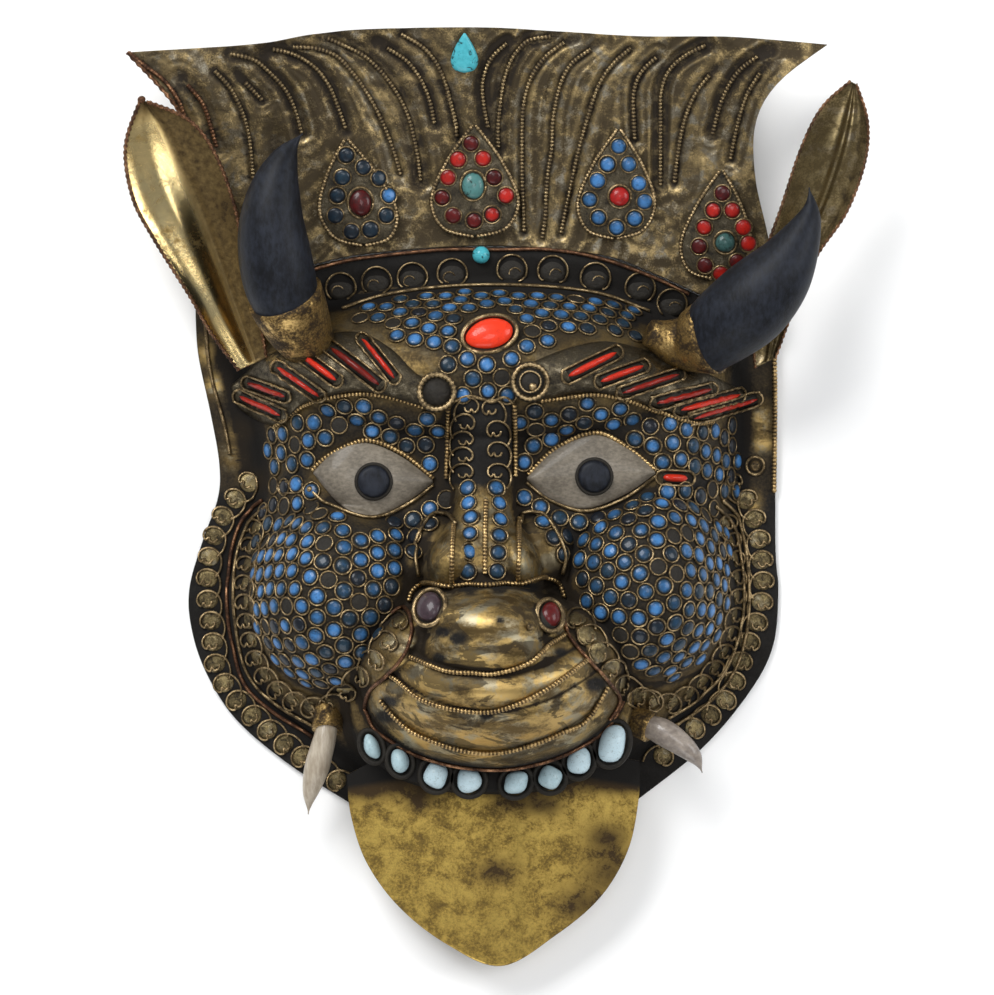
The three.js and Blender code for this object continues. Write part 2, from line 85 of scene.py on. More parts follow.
camera_data = bpy.data.cameras.new("camera")
camera_data.sensor_fit = "HORIZONTAL"
camera_data.sensor_width = SENSOR
camera_data.lens = SENSOR * (CAMERA_HEIGHT - SHARP_LEVEL) / (PHOTO_WIDTH * PIXEL)
camera_data.clip_end = 20
camera = bpy.data.objects.new("camera", camera_data)
camera.location = Vector((0.4, 0, CAMERA_HEIGHT)) * MM
bpy.context.scene.collection.objects.link(camera)
bpy.context.scene.camera = camera
print(f"lens {camera_data.lens:.0f} mm")

# %% Lights
SOFT_LIGHTS = {
    "window_light": {"at": (-0.9, 1.3, 1.5), "size": 1.1, "power": 46},
    "side_light": {"at": (1.5, 0.4, 1.1), "size": 0.9, "power": 16},
    "foot_light": {"at": (-0.2, -1.6, 1.0), "size": 1.2, "power": 12},
    "top_light": {"at": (0.1, 0.2, 2.2), "size": 0.7, "power": 8},
}
AIM = Vector((0, 0, 0.03))
ROOM_COLOUR = (0.9, 0.93, 1.0, 1)
ROOM_STRENGTH = 0.30

for name, light in SOFT_LIGHTS.items():
    lamp_data = bpy.data.lights.new(name, "AREA")
    lamp_data.size = light["size"]
    lamp_data.energy = light["power"]
    lamp = bpy.data.objects.new(name, lamp_data)
    lamp.location = light["at"]
    lamp.rotation_euler = (AIM - lamp.location).to_track_quat("-Z", "Y").to_euler()
    bpy.context.scene.collection.objects.link(lamp)

room = bpy.data.worlds.new("pale_room")
room.use_nodes = True
room.node_tree.nodes["Background"].inputs["Color"].default_value = ROOM_COLOUR
room.node_tree.nodes["Background"].inputs["Strength"].default_value = ROOM_STRENGTH
bpy.context.scene.world = room
bpy.context.scene.view_settings.view_transform = "Standard"
print("soft lights:", len(SOFT_LIGHTS))

# %% [markdown]
# Finishes. A finish is a small sum: this much patina, that much rubbed metal, some grain. Written
# with nodes by hand such sums are hard to read, so one class wraps a socket and lets Python's own
# signs add the Math nodes, and another class holds the material that is being written.

# %% A number that varies over a surface
class Signal:
    """A socket of one number or colour; + - and * on it add Math nodes."""

    def __init__(self, finish, socket):
        self.finish = finish
        self.socket = socket

    def sum_with(self, operation, *values):
        return self.finish.node("ShaderNodeMath", {"operation": operation}, dict(enumerate(values)))

    def __add__(self, other):
        return self.sum_with("ADD", self, other)

    def __sub__(self, other):
        return self.sum_with("SUBTRACT", self, other)

    def __rsub__(self, other):
        return self.sum_with("SUBTRACT", other, self)

    def __mul__(self, other):
        return self.sum_with("MULTIPLY", self, other)

    __radd__ = __add__
    __rmul__ = __mul__

    def limited(self):
        """The number, kept between 0 and 1."""
        return self.finish.node("ShaderNodeClamp", {}, {"Value": self})

    def step(self, low, high):
        """0 below low, 1 above high and a soft step between them."""
        settings = {"interpolation_type": "SMOOTHSTEP"}
        inputs = {"Value": self, "From Min": low, "From Max": high}
        return self.finish.node("ShaderNodeMapRange", settings, inputs)

# %% A material that is being written
class Finish:
    """A material with its nodes; each method adds what its name says."""

    def __init__(self, name):
        self.material = bpy.data.materials.new(name)
        self.material.use_nodes = True
        self.tree = self.material.node_tree
        self.shader = self.tree.nodes["Principled BSDF"]

    def node(self, kind, settings=None, inputs=None, output=0):
        """Any node: its settings are set first, then the values or links of its sockets."""
        made = self.tree.nodes.new(kind)
        for name, value in (settings or {}).items():
            if name == "stops":
                for _ in range(len(value) - 2):
                    made.color_ramp.elements.new(0.5)
                for element, (place, colour) in zip(made.color_ramp.elements, value):
                    element.position = place
                    element.color = (*colour, 1)
            else:
                setattr(made, name, value)
        for key, value in (inputs or {}).items():
            self.feed(made.inputs[key], value)
        return Signal(self, made.outputs[output])

    def feed(self, socket, value):
        if isinstance(value, Signal):
            self.tree.links.new(value.socket, socket)
        elif socket.type == "RGBA":
            socket.default_value = (*value, 1)
        else:
            socket.default_value = value

    def noise(self, size, detail=4, rough=0.55, warp=0, stretch=None):
        """Cloudy noise from 0 to 1; size is that of its blots, in millimetres."""
        spot = self.node("ShaderNodeTexCoord", output="Object")
        if stretch:
            spot = self.node("ShaderNodeMapping", {}, {"Vector": spot, "Scale": stretch})
        inputs = {"Vector": spot, "Scale": 1 / (size * MM)}
        inputs.update({"Detail": detail, "Roughness": rough, "Distortion": warp})
        return self.node("ShaderNodeTexNoise", {}, inputs)

    def mark(self, name):
        """A number kept on the mesh's points."""
        return self.node("ShaderNodeAttribute", {"attribute_name": name}, output="Fac")

    def mix(self, share, first, second):
        """One colour giving way to another."""
        colour_inputs = {0: share, 6: first, 7: second}
        return self.node("ShaderNodeMix", {"data_type": "RGBA"}, colour_inputs, output=2)

    def bump(self, height, depth):
        """Fine relief; depth is the height of the whole step in millimetres."""
        relief = self.node("ShaderNodeBump", {}, {"Height": height, "Distance": depth * MM})
        self.feed(self.shader.inputs["Normal"], relief)

    def set(self, **values):
        """The shader's own sockets, by name with _ for a space."""
        for name, value in values.items():
            self.feed(self.shader.inputs[name.replace("_", " ")], value)
        return self.material

# %% [markdown]
# The table. It stands for the pale paper under the mask in the photograph. A curved studio backdrop
# could be bent from a sheet, but the camera looks straight down, so one plain flat square is enough,
# and it only has to catch the mask's soft shadow.

# %% Pale table
FLOOR_SIZE = 12
table_material = Finish("pale_table").set(Base_Color=(0.93, 0.93, 0.92), Roughness=0.9)
bpy.ops.mesh.primitive_plane_add(size=FLOOR_SIZE)
table = bpy.context.object
table.name = "pale_table"
table.data.materials.append(table_material)
print(f"table: {FLOOR_SIZE} m square")

# %% [markdown]
# Brass. Old brass is three metals in one: the black-brown skin in the hollows, the olive-brown skin
# of the flats and the yellow metal where hands rubbed it. Each piece could have its own nodes, drawn
# one by one, but then the metals would drift apart. So one function writes all of them, and the
# pieces differ only in how far each of the three has come.

# %% How brass looks
BLACK = (0.009, 0.008, 0.007)
SHEEN = 0.16
GRAIN_SIZE = 0.4
FINE_SHARE = 0.14
CLOUDS, FINES = 0.6, 0.4
METAL_LOST = 0.8
CRUST_ROUGHNESS = 0.28
WEAR_POLISH = 0.08
GRAIN_ROUGHNESS = 0.14
STREAK_WEAR, STREAK_CRUST = 1.1, 0.9


def brass(name, dark, mid, bright, pale=None, rubbed=0.5, blot=9, rough=0.38, crusted=0.0, dents=0.35,
          marks=(), tints=0.0):
    """Worked sheet or wire: dark in its hollows and under painted shade, brighter where it's rubbed."""
    finish = Finish(name)
    cloud = finish.noise(blot, detail=7, rough=0.6, warp=0.5)
    fine = finish.noise(blot * FINE_SHARE, detail=5, rough=0.7)
    grain = finish.noise(GRAIN_SIZE, detail=3, rough=0.8)
    wear = (cloud * CLOUDS + fine * FINES).step(0.66 - 0.3 * rubbed, 0.92 - 0.36 * rubbed)
    crust = (1 - cloud * CLOUDS - fine * FINES).step(0.46 - 0.1 * crusted, 0.64 - 0.1 * crusted)
    if pale:
        silvery = finish.noise(blot * 1.3, detail=6, rough=0.6, warp=0.4).step(0.47, 0.60)
        bright = finish.mix(silvery, bright, pale)
    if tints:
        shift = tints * (finish.mark("tint") - 0.5)
        wear, crust = (wear + shift).limited(), (crust - shift).limited()
    if "streak" in marks:
        streak = finish.mark("streak") - 0.5
        wear = (wear + STREAK_WEAR * streak).limited()
        crust = (crust - STREAK_CRUST * streak).limited()
    if "gild" in marks:
        gold = finish.mark("gild")
        band = finish.noise(blot, detail=6, rough=0.6, warp=0.3, stretch=(0.45, 1.2, 0.8))
        blotches = finish.noise(blot * 1.6, detail=6, rough=0.62, warp=0.6, stretch=(0.6, 1.2, 1))
        stain = blotches.step(0.505, 0.545)
        wear = wear * (1 - gold) + (band * 0.8 + fine * 0.2).step(0.38, 0.58) * gold
        crust = crust * (1 - gold) + stain * gold
    # This mark darkens patina in real hollows and stains, and carries painted shade on the ears and at the
    # tongue's root.
    if "hollow" in marks:
        low = (finish.mark("hollow") * (0.55 + 0.9 * fine)).limited()
        wear = wear * (1 - low)
        crust = (crust * 0.7 + low).limited()
    colour = finish.mix(crust, finish.mix(wear, mid, bright), dark)
    metal = 1 - METAL_LOST * crust
    roughness = rough + CRUST_ROUGHNESS * crust - WEAR_POLISH * wear + GRAIN_ROUGHNESS * (grain - 0.5)
    if "black" in marks:
        covered = (finish.mark("black") * (0.75 + 0.6 * (1 - fine))).limited()
        colour = finish.mix(covered, colour, BLACK)
        metal = metal * (1 - covered)
        roughness = roughness + 0.15 * covered
    finish.bump(cloud * 0.5 + fine * 0.5 + grain * 0.1, dents)
    return finish.set(Base_Color=colour, Metallic=metal.limited(), Roughness=roughness.limited(),
                      Specular_IOR_Level=SHEEN)

# %% Brass finishes
face_brass = brass("face_brass", (0.018, 0.013, 0.008), (0.115, 0.078, 0.032), (0.47, 0.325, 0.12),
                   pale=(0.34, 0.30, 0.20), rubbed=0.35, crusted=0.3, blot=8, rough=0.50,
                   marks=("hollow", "gild", "black"))
crown_brass = brass("crown_brass", (0.020, 0.015, 0.010), (0.118, 0.087, 0.044), (0.48, 0.355, 0.165),
                    pale=(0.33, 0.305, 0.24), rubbed=0.62, crusted=0.6, blot=5, rough=0.44,
                    marks=("hollow", "gild", "streak"))
ear_brass = brass("ear_brass", (0.035, 0.022, 0.009), (0.34, 0.22, 0.07), (0.82, 0.62, 0.28),
                  pale=(0.70, 0.56, 0.28), rubbed=1.1, crusted=-0.9, blot=18, rough=0.31, dents=0.12,
                  marks=("hollow",))
old_ear_brass = brass("old_ear_brass", (0.030, 0.021, 0.010), (0.17, 0.125, 0.055), (0.50, 0.39, 0.20),
                      pale=(0.42, 0.35, 0.24), rubbed=0.7, crusted=0.1, blot=6, rough=0.36, dents=0.2,
                      marks=("hollow",))
tongue_brass = brass("tongue_brass", (0.040, 0.024, 0.009), (0.25, 0.165, 0.040), (0.60, 0.415, 0.105),
                     rubbed=0.85, crusted=-0.25, blot=7, rough=0.40, dents=0.2, marks=("hollow", "black"))
collar_brass = brass("collar_brass", (0.025, 0.016, 0.008), (0.24, 0.15, 0.05), (0.66, 0.46, 0.18),
                     rubbed=0.6, crusted=0.6, blot=7)
wire_brass = brass("wire_brass", (0.020, 0.014, 0.008), (0.165, 0.115, 0.055), (0.50, 0.37, 0.20), rubbed=0.7,
                   blot=4, tints=0.8)
bead_brass = brass("bead_brass", (0.020, 0.012, 0.006), (0.17, 0.105, 0.042), (0.60, 0.42, 0.19), rubbed=0.6,
                   crusted=0.3, blot=6, tints=1.2)
hair_finish = brass("hair_brass", (0.020, 0.013, 0.008), (0.11, 0.078, 0.040), (0.38, 0.285, 0.15),
                    rubbed=0.5, crusted=0.4, blot=7, tints=1.1)
dish_brass = brass("dish_brass", (0.022, 0.017, 0.010), (0.16, 0.122, 0.058), (0.42, 0.33, 0.16),
                   pale=(0.34, 0.31, 0.23), rubbed=0.6, crusted=0.1, blot=3, tints=0.7)
copper = brass("copper_wire", (0.025, 0.012, 0.007), (0.15, 0.072, 0.038), (0.50, 0.28, 0.15), rubbed=0.6,
               crusted=0.3, blot=5)
plate_silver = brass("plate_silver", (0.014, 0.012, 0.010), (0.085, 0.070, 0.045), (0.36, 0.31, 0.22), blot=4,
                     rubbed=0.5)
print("brass and copper finishes:", len(bpy.data.materials) - 1)

# %% Horn, bone and tusk
FIBRE_SIZE, CLOUD_SIZE = 1.4, 14


def grained(name, dark, light, rough, stretch, depth=0.2, coat=0.0):
    """A grown material with fibres that run along the piece."""
    finish = Finish(name)
    fibre = finish.noise(FIBRE_SIZE, detail=6, rough=0.65, stretch=stretch)
    cloud = finish.noise(CLOUD_SIZE, detail=4)
    share = (fibre * 0.6 + cloud * 0.4).step(0.35, 0.68)
    finish.bump(fibre, depth)
    return finish.set(Base_Color=finish.mix(share, dark, light), Roughness=rough + 0.2 * (fibre - 0.5),
                      Coat_Weight=coat, Specular_IOR_Level=SHEEN + coat)


black_horn = grained("black_horn", (0.005, 0.0055, 0.007), (0.016, 0.019, 0.027), 0.50, (0.8, 0.35, 0.6),
                     depth=0.15)
bone = grained("grey_bone", (0.095, 0.080, 0.060), (0.20, 0.172, 0.132), 0.5, (0.8, 1.3, 1),
               depth=0.1, coat=0.1)
ivory_tusk = grained("ivory_tusk", (0.26, 0.21, 0.15), (0.46, 0.40, 0.31), 0.42, (1, 0.2, 0.5), coat=0.2)
smoky_tusk = grained("smoky_tusk", (0.14, 0.115, 0.095), (0.30, 0.255, 0.21), 0.36, (0.4, 0.6, 0.6), coat=0.3)

# %% Stones and pitch
STONE_CLOUD = 1.8
PITCH_LUMP = 1.6


def stone(name, *tones, vein=(0.01, 0.01, 0.01), veined=0.5, vein_size=1.3, rough=0.25):
    """A set stone: its tint picks a tone, clouds shift it and dark veins run through it."""
    finish = Finish(name)
    cloud = finish.noise(STONE_CLOUD, detail=5, rough=0.6)
    veins = finish.noise(vein_size, detail=5, warp=1.5).step(0.56, 0.66)
    stops = [(place, tone) for place, tone in zip(np.linspace(0.08, 0.92, len(tones)), tones)]
    level = (finish.mark("tint") + 0.45 * (cloud - 0.5)).limited()
    tone = finish.node("ShaderNodeValToRGB", {"stops": stops}, {"Fac": level})
    finish.bump(cloud, 0.12)
    return finish.set(Base_Color=finish.mix(veins * veined, tone, vein), Roughness=rough + 0.2 * cloud,
                      Coat_Weight=0.25, Specular_IOR_Level=SHEEN)


coral = stone("coral", (0.52, 0.022, 0.008), (0.72, 0.040, 0.012), vein=(0.42, 0.02, 0.01))
coral_strips = stone("coral_strips", (0.08, 0.007, 0.005), (0.26, 0.014, 0.007), (0.52, 0.026, 0.010))
dark_red = stone("dark_red_stone", (0.022, 0.006, 0.006), (0.13, 0.008, 0.008), (0.36, 0.014, 0.012))
red_stone = stone("red_stone", (0.040, 0.005, 0.005), (0.17, 0.009, 0.007), (0.42, 0.016, 0.010))
nostril_stone = stone("grey_red_stone", (0.025, 0.022, 0.026), (0.050, 0.030, 0.036), (0.095, 0.036, 0.042))
turquoise = stone("turquoise", (0.02, 0.09, 0.09), (0.06, 0.36, 0.42), (0.16, 0.58, 0.66),
                  vein=(0.01, 0.02, 0.02), veined=0.9, vein_size=4)
dull_turquoise = stone("dull_turquoise", (0.015, 0.03, 0.028), (0.035, 0.085, 0.078), (0.075, 0.20, 0.19),
                       vein=(0.01, 0.015, 0.01), veined=0.9, vein_size=3)
blue_stone = stone("blue_stone", (0.008, 0.010, 0.014), (0.012, 0.030, 0.048), (0.021, 0.074, 0.168),
                   (0.054, 0.178, 0.405))
pale_stone = stone("pale_stone", (0.08, 0.12, 0.11), (0.31, 0.44, 0.47), (0.51, 0.65, 0.70),
                   vein=(0.16, 0.20, 0.19), veined=0.45)

# Black pitch; the same finish also colours the painted-shadow rings round the pupils.
pitch_finish = Finish("black_pitch_and_shadow")
pitch_lumps = pitch_finish.noise(PITCH_LUMP, detail=5)
pitch_finish.bump(pitch_lumps, 0.4)
pitch = pitch_finish.set(
    Base_Color=pitch_finish.mix(pitch_lumps, (0.008, 0.007, 0.006), (0.03, 0.026, 0.02)),
    Roughness=0.45 + 0.3 * pitch_lumps,
    Specular_IOR_Level=SHEEN,
)
print("finishes:", len(bpy.data.materials))

# %% [markdown]
# Shapes. Sheets, bars and wires are all grids of points, so a few small functions make every mesh.
# Modifiers could thicken and round them too, but points that are worked out stay exactly where the
# frame has its solids.

# %% Curves
def spline(points, count):
    """Evenly numbered places on a smooth curve through the given points."""
    knots = np.array(points, float)
    along = np.linspace(0, len(knots) - 1, count)
    first = np.minimum(along.astype(int), len(knots) - 2)
    t = (along - first)[:, None]
    before = knots[np.maximum(first - 1, 0)]
    start = knots[first]
    end = knots[first + 1]
    after = knots[np.minimum(first + 2, len(knots) - 1)]
    return start + 0.5 * (
        (end - before) * t
        + (2 * before - 5 * start + 4 * end - after) * t**2
        + (3 * start - before - 3 * end + after) * t**3
    )


def travelled(path):
    """How far along its path each point lies."""
    return np.concatenate([[0], np.cumsum(np.linalg.norm(np.diff(path, axis=0), axis=1))])


def even(path, count):
    """The same path with its points at even distances."""
    path = np.asarray(path, float)
    along = travelled(path)
    at = np.linspace(0, along[-1], count)
    return np.stack([np.interp(at, along, column) for column in path.T], axis=1)


def smooth_path(points, spacing):
    """A smooth curve through the points, with a point every so many millimetres."""
    rough = spline(points, 12 * len(points))
    return even(rough, max(4, int(travelled(rough)[-1] / spacing) + 1))

# %% Round outlines
def full_turn(count):
    """Angles of a full turn in equal steps."""
    return np.linspace(0, 2 * math.pi, count, endpoint=False)


def oval(at, half, turn=0.0, count=32):
    """The outline of an oval; its last point is its first again."""
    angle = np.linspace(0, 2 * math.pi, count)
    x, y = half[0] * np.cos(angle), half[1] * np.sin(angle)
    return np.stack([
        at[0] + x * math.cos(turn) - y * math.sin(turn),
        at[1] + x * math.sin(turn) + y * math.cos(turn),
    ], axis=1)


def level_ring(at, half, level, turn=0.0, count=32):
    """A closed path round a place, all of it at one level."""
    ring = oval(at, half, turn, count)[:-1]
    return np.column_stack([ring, np.full(len(ring), level)])

# %% Meshes
class Shape:
    """Points and faces that grow piece by piece, with a tint for each point."""

    def __init__(self):
        self.points = []
        self.faces = []
        self.tints = []
        self.count = 0

    def add(self, points, faces, tint=0.5):
        points = np.asarray(points, float).reshape(-1, 3)
        self.points.append(points)
        self.tints.append(np.broadcast_to(tint, len(points)))
        self.faces.extend((np.asarray(group) + self.count).tolist() for group in faces if len(group))
        self.count += len(points)
        return self


def grid_faces(rows, columns, first=0, flip=False):
    """Quads of a grid of rows x columns points."""
    corner = first + np.arange((rows - 1) * columns).reshape(rows - 1, columns)[:, :-1].ravel()
    quads = np.stack([corner, corner + 1, corner + columns + 1, corner + columns], axis=1)
    return quads[:, ::-1] if flip else quads


def ring_faces(rows, around):
    """Faces of rings on top of each other, closed round the sides and over both ends."""
    seam = np.arange(rows - 1)[:, None] * around
    closing = np.concatenate([seam + around - 1, seam, seam + around, seam + 2 * around - 1], axis=1)
    caps = [np.arange(around)[::-1][None], ((rows - 1) * around + np.arange(around))[None]]
    return [grid_faces(rows, around), closing, *caps]

# %% Pieces
def piece(name, shape, material, slot, *nodes, marks=None):
    """Makes one named piece of the mask, fixes it to the frame and says what it measures."""
    mesh = bpy.data.meshes.new(name)
    points = np.concatenate(shape.points)
    mesh.from_pydata((points * MM).tolist(), [], [face for group in shape.faces for face in group])
    values = {"tint": np.concatenate(shape.tints), **(marks or {})}
    for mark, numbers in values.items():
        mesh.attributes.new(mark, "FLOAT", "POINT").data.foreach_set("value", np.asarray(numbers, np.float32))
    mesh.shade_smooth()
    mesh.validate()
    made = bpy.data.objects.new(name, mesh)
    bpy.context.scene.collection.objects.link(made)
    mesh.materials.append(material)
    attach(made, "root")
    if nodes:
        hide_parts(*nodes)
    triangles = sum(len(face) - 2 for group in shape.faces for face in group)
    size = points.max(0) - points.min(0)
    print(f"{name}: {triangles} triangles, {size[0]:.0f} x {size[1]:.0f} x {size[2]:.0f} mm")

# %% Sheets with a thickness
def shell(top, under):
    """A closed sheet: a fine top grid, a coarser under grid with the same corners, and a rim."""
    rows, columns = top.shape[:2]
    under_rows, under_columns = under.shape[:2]
    first_under = rows * columns
    down = (rows - 1) // (under_rows - 1)
    across = (columns - 1) // (under_columns - 1)
    top_end, under_end = (rows - 1) * columns, (under_rows - 1) * under_columns
    edges = [
        (lambda i: i, lambda i: i, columns, across, False),
        (lambda i: top_end + i, lambda i: under_end + i, columns, across, True),
        (lambda i: i * columns, lambda i: i * under_columns, rows, down, True),
        (lambda i: (i + 1) * columns - 1, lambda i: (i + 1) * under_columns - 1, rows, down, False),
    ]
    rim = []
    for top_at, under_at, length, stride, flip in edges:
        for i in range((length - 1) // stride):
            fan = [top_at(i * stride + step) for step in range(stride + 1)]
            loop = [first_under + under_at(i), first_under + under_at(i + 1), *reversed(fan)]
            rim.append(loop[::-1] if flip else loop)
    faces = [grid_faces(rows, columns), grid_faces(under_rows, under_columns, first_under, flip=True)]
    shape = Shape().add(np.concatenate([top.reshape(-1, 3), under.reshape(-1, 3)]), faces)
    shape.faces.append(rim)
    return shape


def shares(columns, rows):
    """How far along its columns and its rows each point of a grid lies, from 0 to 1."""
    return np.linspace(0, 1, columns)[None, :], np.linspace(0, 1, rows)[:, None]


def lofted(lower, upper, columns, rows):
    """A grid of places between a lower and an upper edge."""
    _, up = shares(columns, rows)
    return lerp(spline(lower, columns)[None], spline(upper, columns)[None], up[..., None])


def coons(bottom, top, left, right, columns, rows):
    """A grid of places inside four curved edges."""
    b, t = spline(bottom, columns)[None], spline(top, columns)[None]
    l, r = spline(left, rows)[:, None], spline(right, rows)[:, None]
    u, v = (share[..., None] for share in shares(columns, rows))
    corners = lerp(lerp(b[:, :1], b[:, -1:], u), lerp(t[:, :1], t[:, -1:], u), v)
    return lerp(b, t, v) + lerp(l, r, u) - corners


def with_height(grid, height):
    """Flat places with a height for each."""
    return np.concatenate([grid, height[..., None]], axis=-1)

# %% Bars and wires
THINNEST = 0.25


def ring_frames(path, up=None):
    """Two directions across a path at each of its points."""
    along = np.gradient(path, axis=0)
    along /= np.linalg.norm(along, axis=1, keepdims=True) + 1e-9
    up = np.tile([0.0, 0.0, 1.0], (len(path), 1)) if up is None else up
    side = np.cross(along, up)
    side /= np.linalg.norm(side, axis=1, keepdims=True) + 1e-9
    return side, np.cross(side, along)


def tube(shape, path, radius, sides=6, up=None, tint=0.5, closed=False):
    """A round bar or wire along a path; radius may be one number, one for each point or a grid."""
    path = np.asarray(path, float)
    side, over = ring_frames(path, up)
    turn = full_turn(sides)
    radius = np.broadcast_to(np.asarray(radius, float), (len(path),)) if np.ndim(radius) < 2 else radius
    radius = radius[:, None] if radius.ndim == 1 else radius
    rings = (
        path[:, None, :]
        + (radius * np.cos(turn))[..., None] * side[:, None, :]
        + (radius * np.sin(turn))[..., None] * over[:, None, :]
    )
    count = len(path)
    ring = np.arange(sides)
    after = (ring + 1) % sides
    last = count if closed else count - 1
    starts = np.arange(last)[:, None] * sides
    ends = ((np.arange(last) + 1) % count)[:, None] * sides
    quads = np.stack([starts + ring, starts + after, ends + after, ends + ring], axis=-1).reshape(-1, 4)
    caps = [] if closed else [ring[::-1][None], ((count - 1) * sides + ring)[None]]
    return shape.add(rings.reshape(-1, 3), [quads, *caps], tint)


def bar(stations, rings):
    """The path and the radii of a tapered bar through stations of x, y, z and radius."""
    stations = np.array(stations, float)
    path = even(spline(stations[:, :3], 40 * len(stations)), rings + 1)
    return path, np.maximum(spline(stations[:, 3:], rings + 1)[:, 0], THINNEST)

# %% [markdown]
# The face. In brass a face like this is raised from behind with punches and then worked from the
# front. It could be sculpted here too, but sculpting can't be written down. So its height is one
# function of the place on it: a flat border, a body that climbs from it, rounded swellings for
# cheeks, forehead and nostrils, a muzzle with folds and a ledge for the teeth. The same function
# later tells every stone and wire how high it lies.

# %% Tables over a sheet
def softened(table, rounds):
    """A table with each number shared out among its neighbours."""
    for _ in range(rounds):
        padded = np.pad(table, 1, mode="edge")
        table = (padded[:-2, 1:-1] + padded[2:, 1:-1] + padded[1:-1, :-2] + padded[1:-1, 2:] + table) / 5
    return table


def blot(grid, at, reach, stretch=1.0):
    """1 at a place on a grid, fading to 0 past its reach; stretch widens it sideways."""
    return np.exp(-(((grid[..., 0] - at[0]) / stretch) ** 2 + (grid[..., 1] - at[1]) ** 2) / reach**2)


def with_under(mark, under, level=0.0):
    """A mark for a whole sheet: one number for each point of its front and one level for its under side."""
    return np.concatenate([mark.ravel(), np.full(under[..., 0].size, level)])

# %% The outline of the face
FACE_TOP = [(-121, 78), (-74, 92.8), (-46, 98), (0, 100.5), (42, 96.8), (63, 89.5), (83, 80.5), (113, 66)]
FACE_LEFT = [(-59, -123), (-84, -107), (-105, -89), (-117, -70), (-122.8, -52), (-123.4, -36), (-118, -17),
             (-112, 0), (-111.5, 14), (-115, 34), (-120, 58), (-121, 78)]
FACE_BOTTOM = [(-59, -123), (-30, -128), (0, -129.5), (30, -128), (56, -122.5)]
FACE_RIGHT = [(56, -122.5), (83, -101), (102, -78.5), (111.5, -60), (113.7, -38), (112.5, -15), (113, 66)]
OUTLINE_STEPS = 40

face_outline = np.concatenate([
    spline(FACE_BOTTOM, OUTLINE_STEPS),
    spline(FACE_RIGHT, OUTLINE_STEPS)[1:],
    spline(FACE_TOP[::-1], OUTLINE_STEPS)[1:],
    spline(FACE_LEFT[::-1], OUTLINE_STEPS)[1:],
])


def distance_to(x, y, line):
    """Distance from each place to a line of points."""
    line = np.asarray(line, float)
    spots = np.stack([np.ravel(x), np.ravel(y)], axis=1)
    nearest = np.full(len(spots), np.inf)
    for start, end in zip(line[:-1], line[1:]):
        run = end - start
        share = np.clip(((spots - start) @ run) / max(run @ run, 1e-9), 0, 1)
        nearest = np.minimum(nearest, np.hypot(*(spots - start - share[:, None] * run).T))
    return nearest.reshape(np.shape(x))

# %% The height of the face
WALL = 2.4
SWELLINGS = [
    {"at": (-63, -40), "half": (37, 37), "height": 20, "fall": 0.75},
    {"at": (64, -37), "half": (36, 37), "height": 20, "fall": 0.75},
    {"at": (-2, 56), "half": (90, 32), "height": 14, "fall": 0.8},
    {"at": (-49, 8), "half": (32, 20), "height": -5, "fall": 1},
    {"at": (38, 9), "half": (32, 20), "height": -5, "fall": 1},
    {"at": (-24, -22), "half": (13, 15), "height": 9, "fall": 0.8},
    {"at": (17, -22), "half": (13, 15), "height": 9, "fall": 0.8},
    {"at": (-26, -44), "half": (9.5, 10), "height": 5, "fall": 0.7},
    {"at": (21, -47), "half": (9, 9), "height": 5, "fall": 0.7},
]
BODY_HEIGHT = 36
BROW_LIFT = 8
MUZZLE = {"at": (-1.6, -72), "half": (53, 37), "height": 50, "fall": 0.7}
LEDGE = {"at": (-2, -72), "half": (62, 50), "power": 2.6, "height": 33, "steepness": 11}
FOLD_HEIGHT = 1.9
FOLD_PITCH = 15
NOSE_LINE = -5
NOSE_RISE, SNOUT_RISE = 10, 18


def dome(x, y, form):
    dx = (x - form["at"][0]) / form["half"][0]
    dy = (y - form["at"][1]) / form["half"][1]
    return form["height"] * np.maximum(1 - dx**2 - dy**2, 0) ** form["fall"]


def nose_height(x, y):
    half = lerp(13, 24, 1 - smoothstep(y, -30, -2))
    across = np.maximum(1 - np.abs((x - NOSE_LINE) / half) ** 3.4, 0)
    rise = NOSE_RISE * (1 - smoothstep(y, 20, 45)) + SNOUT_RISE * (1 - smoothstep(y, -28, 15))
    return rise * smoothstep(y, -72, -38) * across**0.8


def muzzle_height(x, y):
    height = dome(x, y, MUZZLE)
    along = y - 0.009 * (x + 2) ** 2
    fold = 2 * np.abs(np.cos(math.pi * (along + 77) / FOLD_PITCH)) ** 0.8 - 1
    share = np.sqrt(height / MUZZLE["height"]) * (1 - smoothstep(y, -62, -50))
    return height + FOLD_HEIGHT * fold * share


def ledge_height(x, y):
    dx = np.abs((x - LEDGE["at"][0]) / LEDGE["half"][0])
    dy = np.abs((y - LEDGE["at"][1]) / LEDGE["half"][1])
    reach = (dx ** LEDGE["power"] + dy ** LEDGE["power"]) ** (1 / LEDGE["power"])
    return LEDGE["height"] * np.clip((1 - reach) * LEDGE["steepness"], 0, 1)


def face_height(x, y):
    """Height of the face's front at a place, in millimetres."""
    x, y = np.asarray(x, float), np.asarray(y, float)
    inset = distance_to(x, y, face_outline)
    climb = np.clip((inset - 15) / 38, 0, 1)
    body = BODY_HEIGHT * (1 - (1 - climb) ** 2.2)
    relief = sum(dome(x, y, form) for form in SWELLINGS)
    lift = BROW_LIFT * smoothstep(y, 55, 98)
    front = np.maximum(body + relief, ledge_height(x, y)) + muzzle_height(x, y) + nose_height(x, y)
    return WALL + lift + smoothstep(inset, 1.5, 7) * front

# %% The face sheet
FACE_COLUMNS = 271
FACE_ROWS = 241
UNDER_STRIDE = 5
RIM_WIDTH = 4
STEEPEST = 2.5

face_grid = coons(FACE_BOTTOM, FACE_TOP, FACE_LEFT, FACE_RIGHT, FACE_COLUMNS, FACE_ROWS)
face_level = face_height(face_grid[..., 0], face_grid[..., 1])


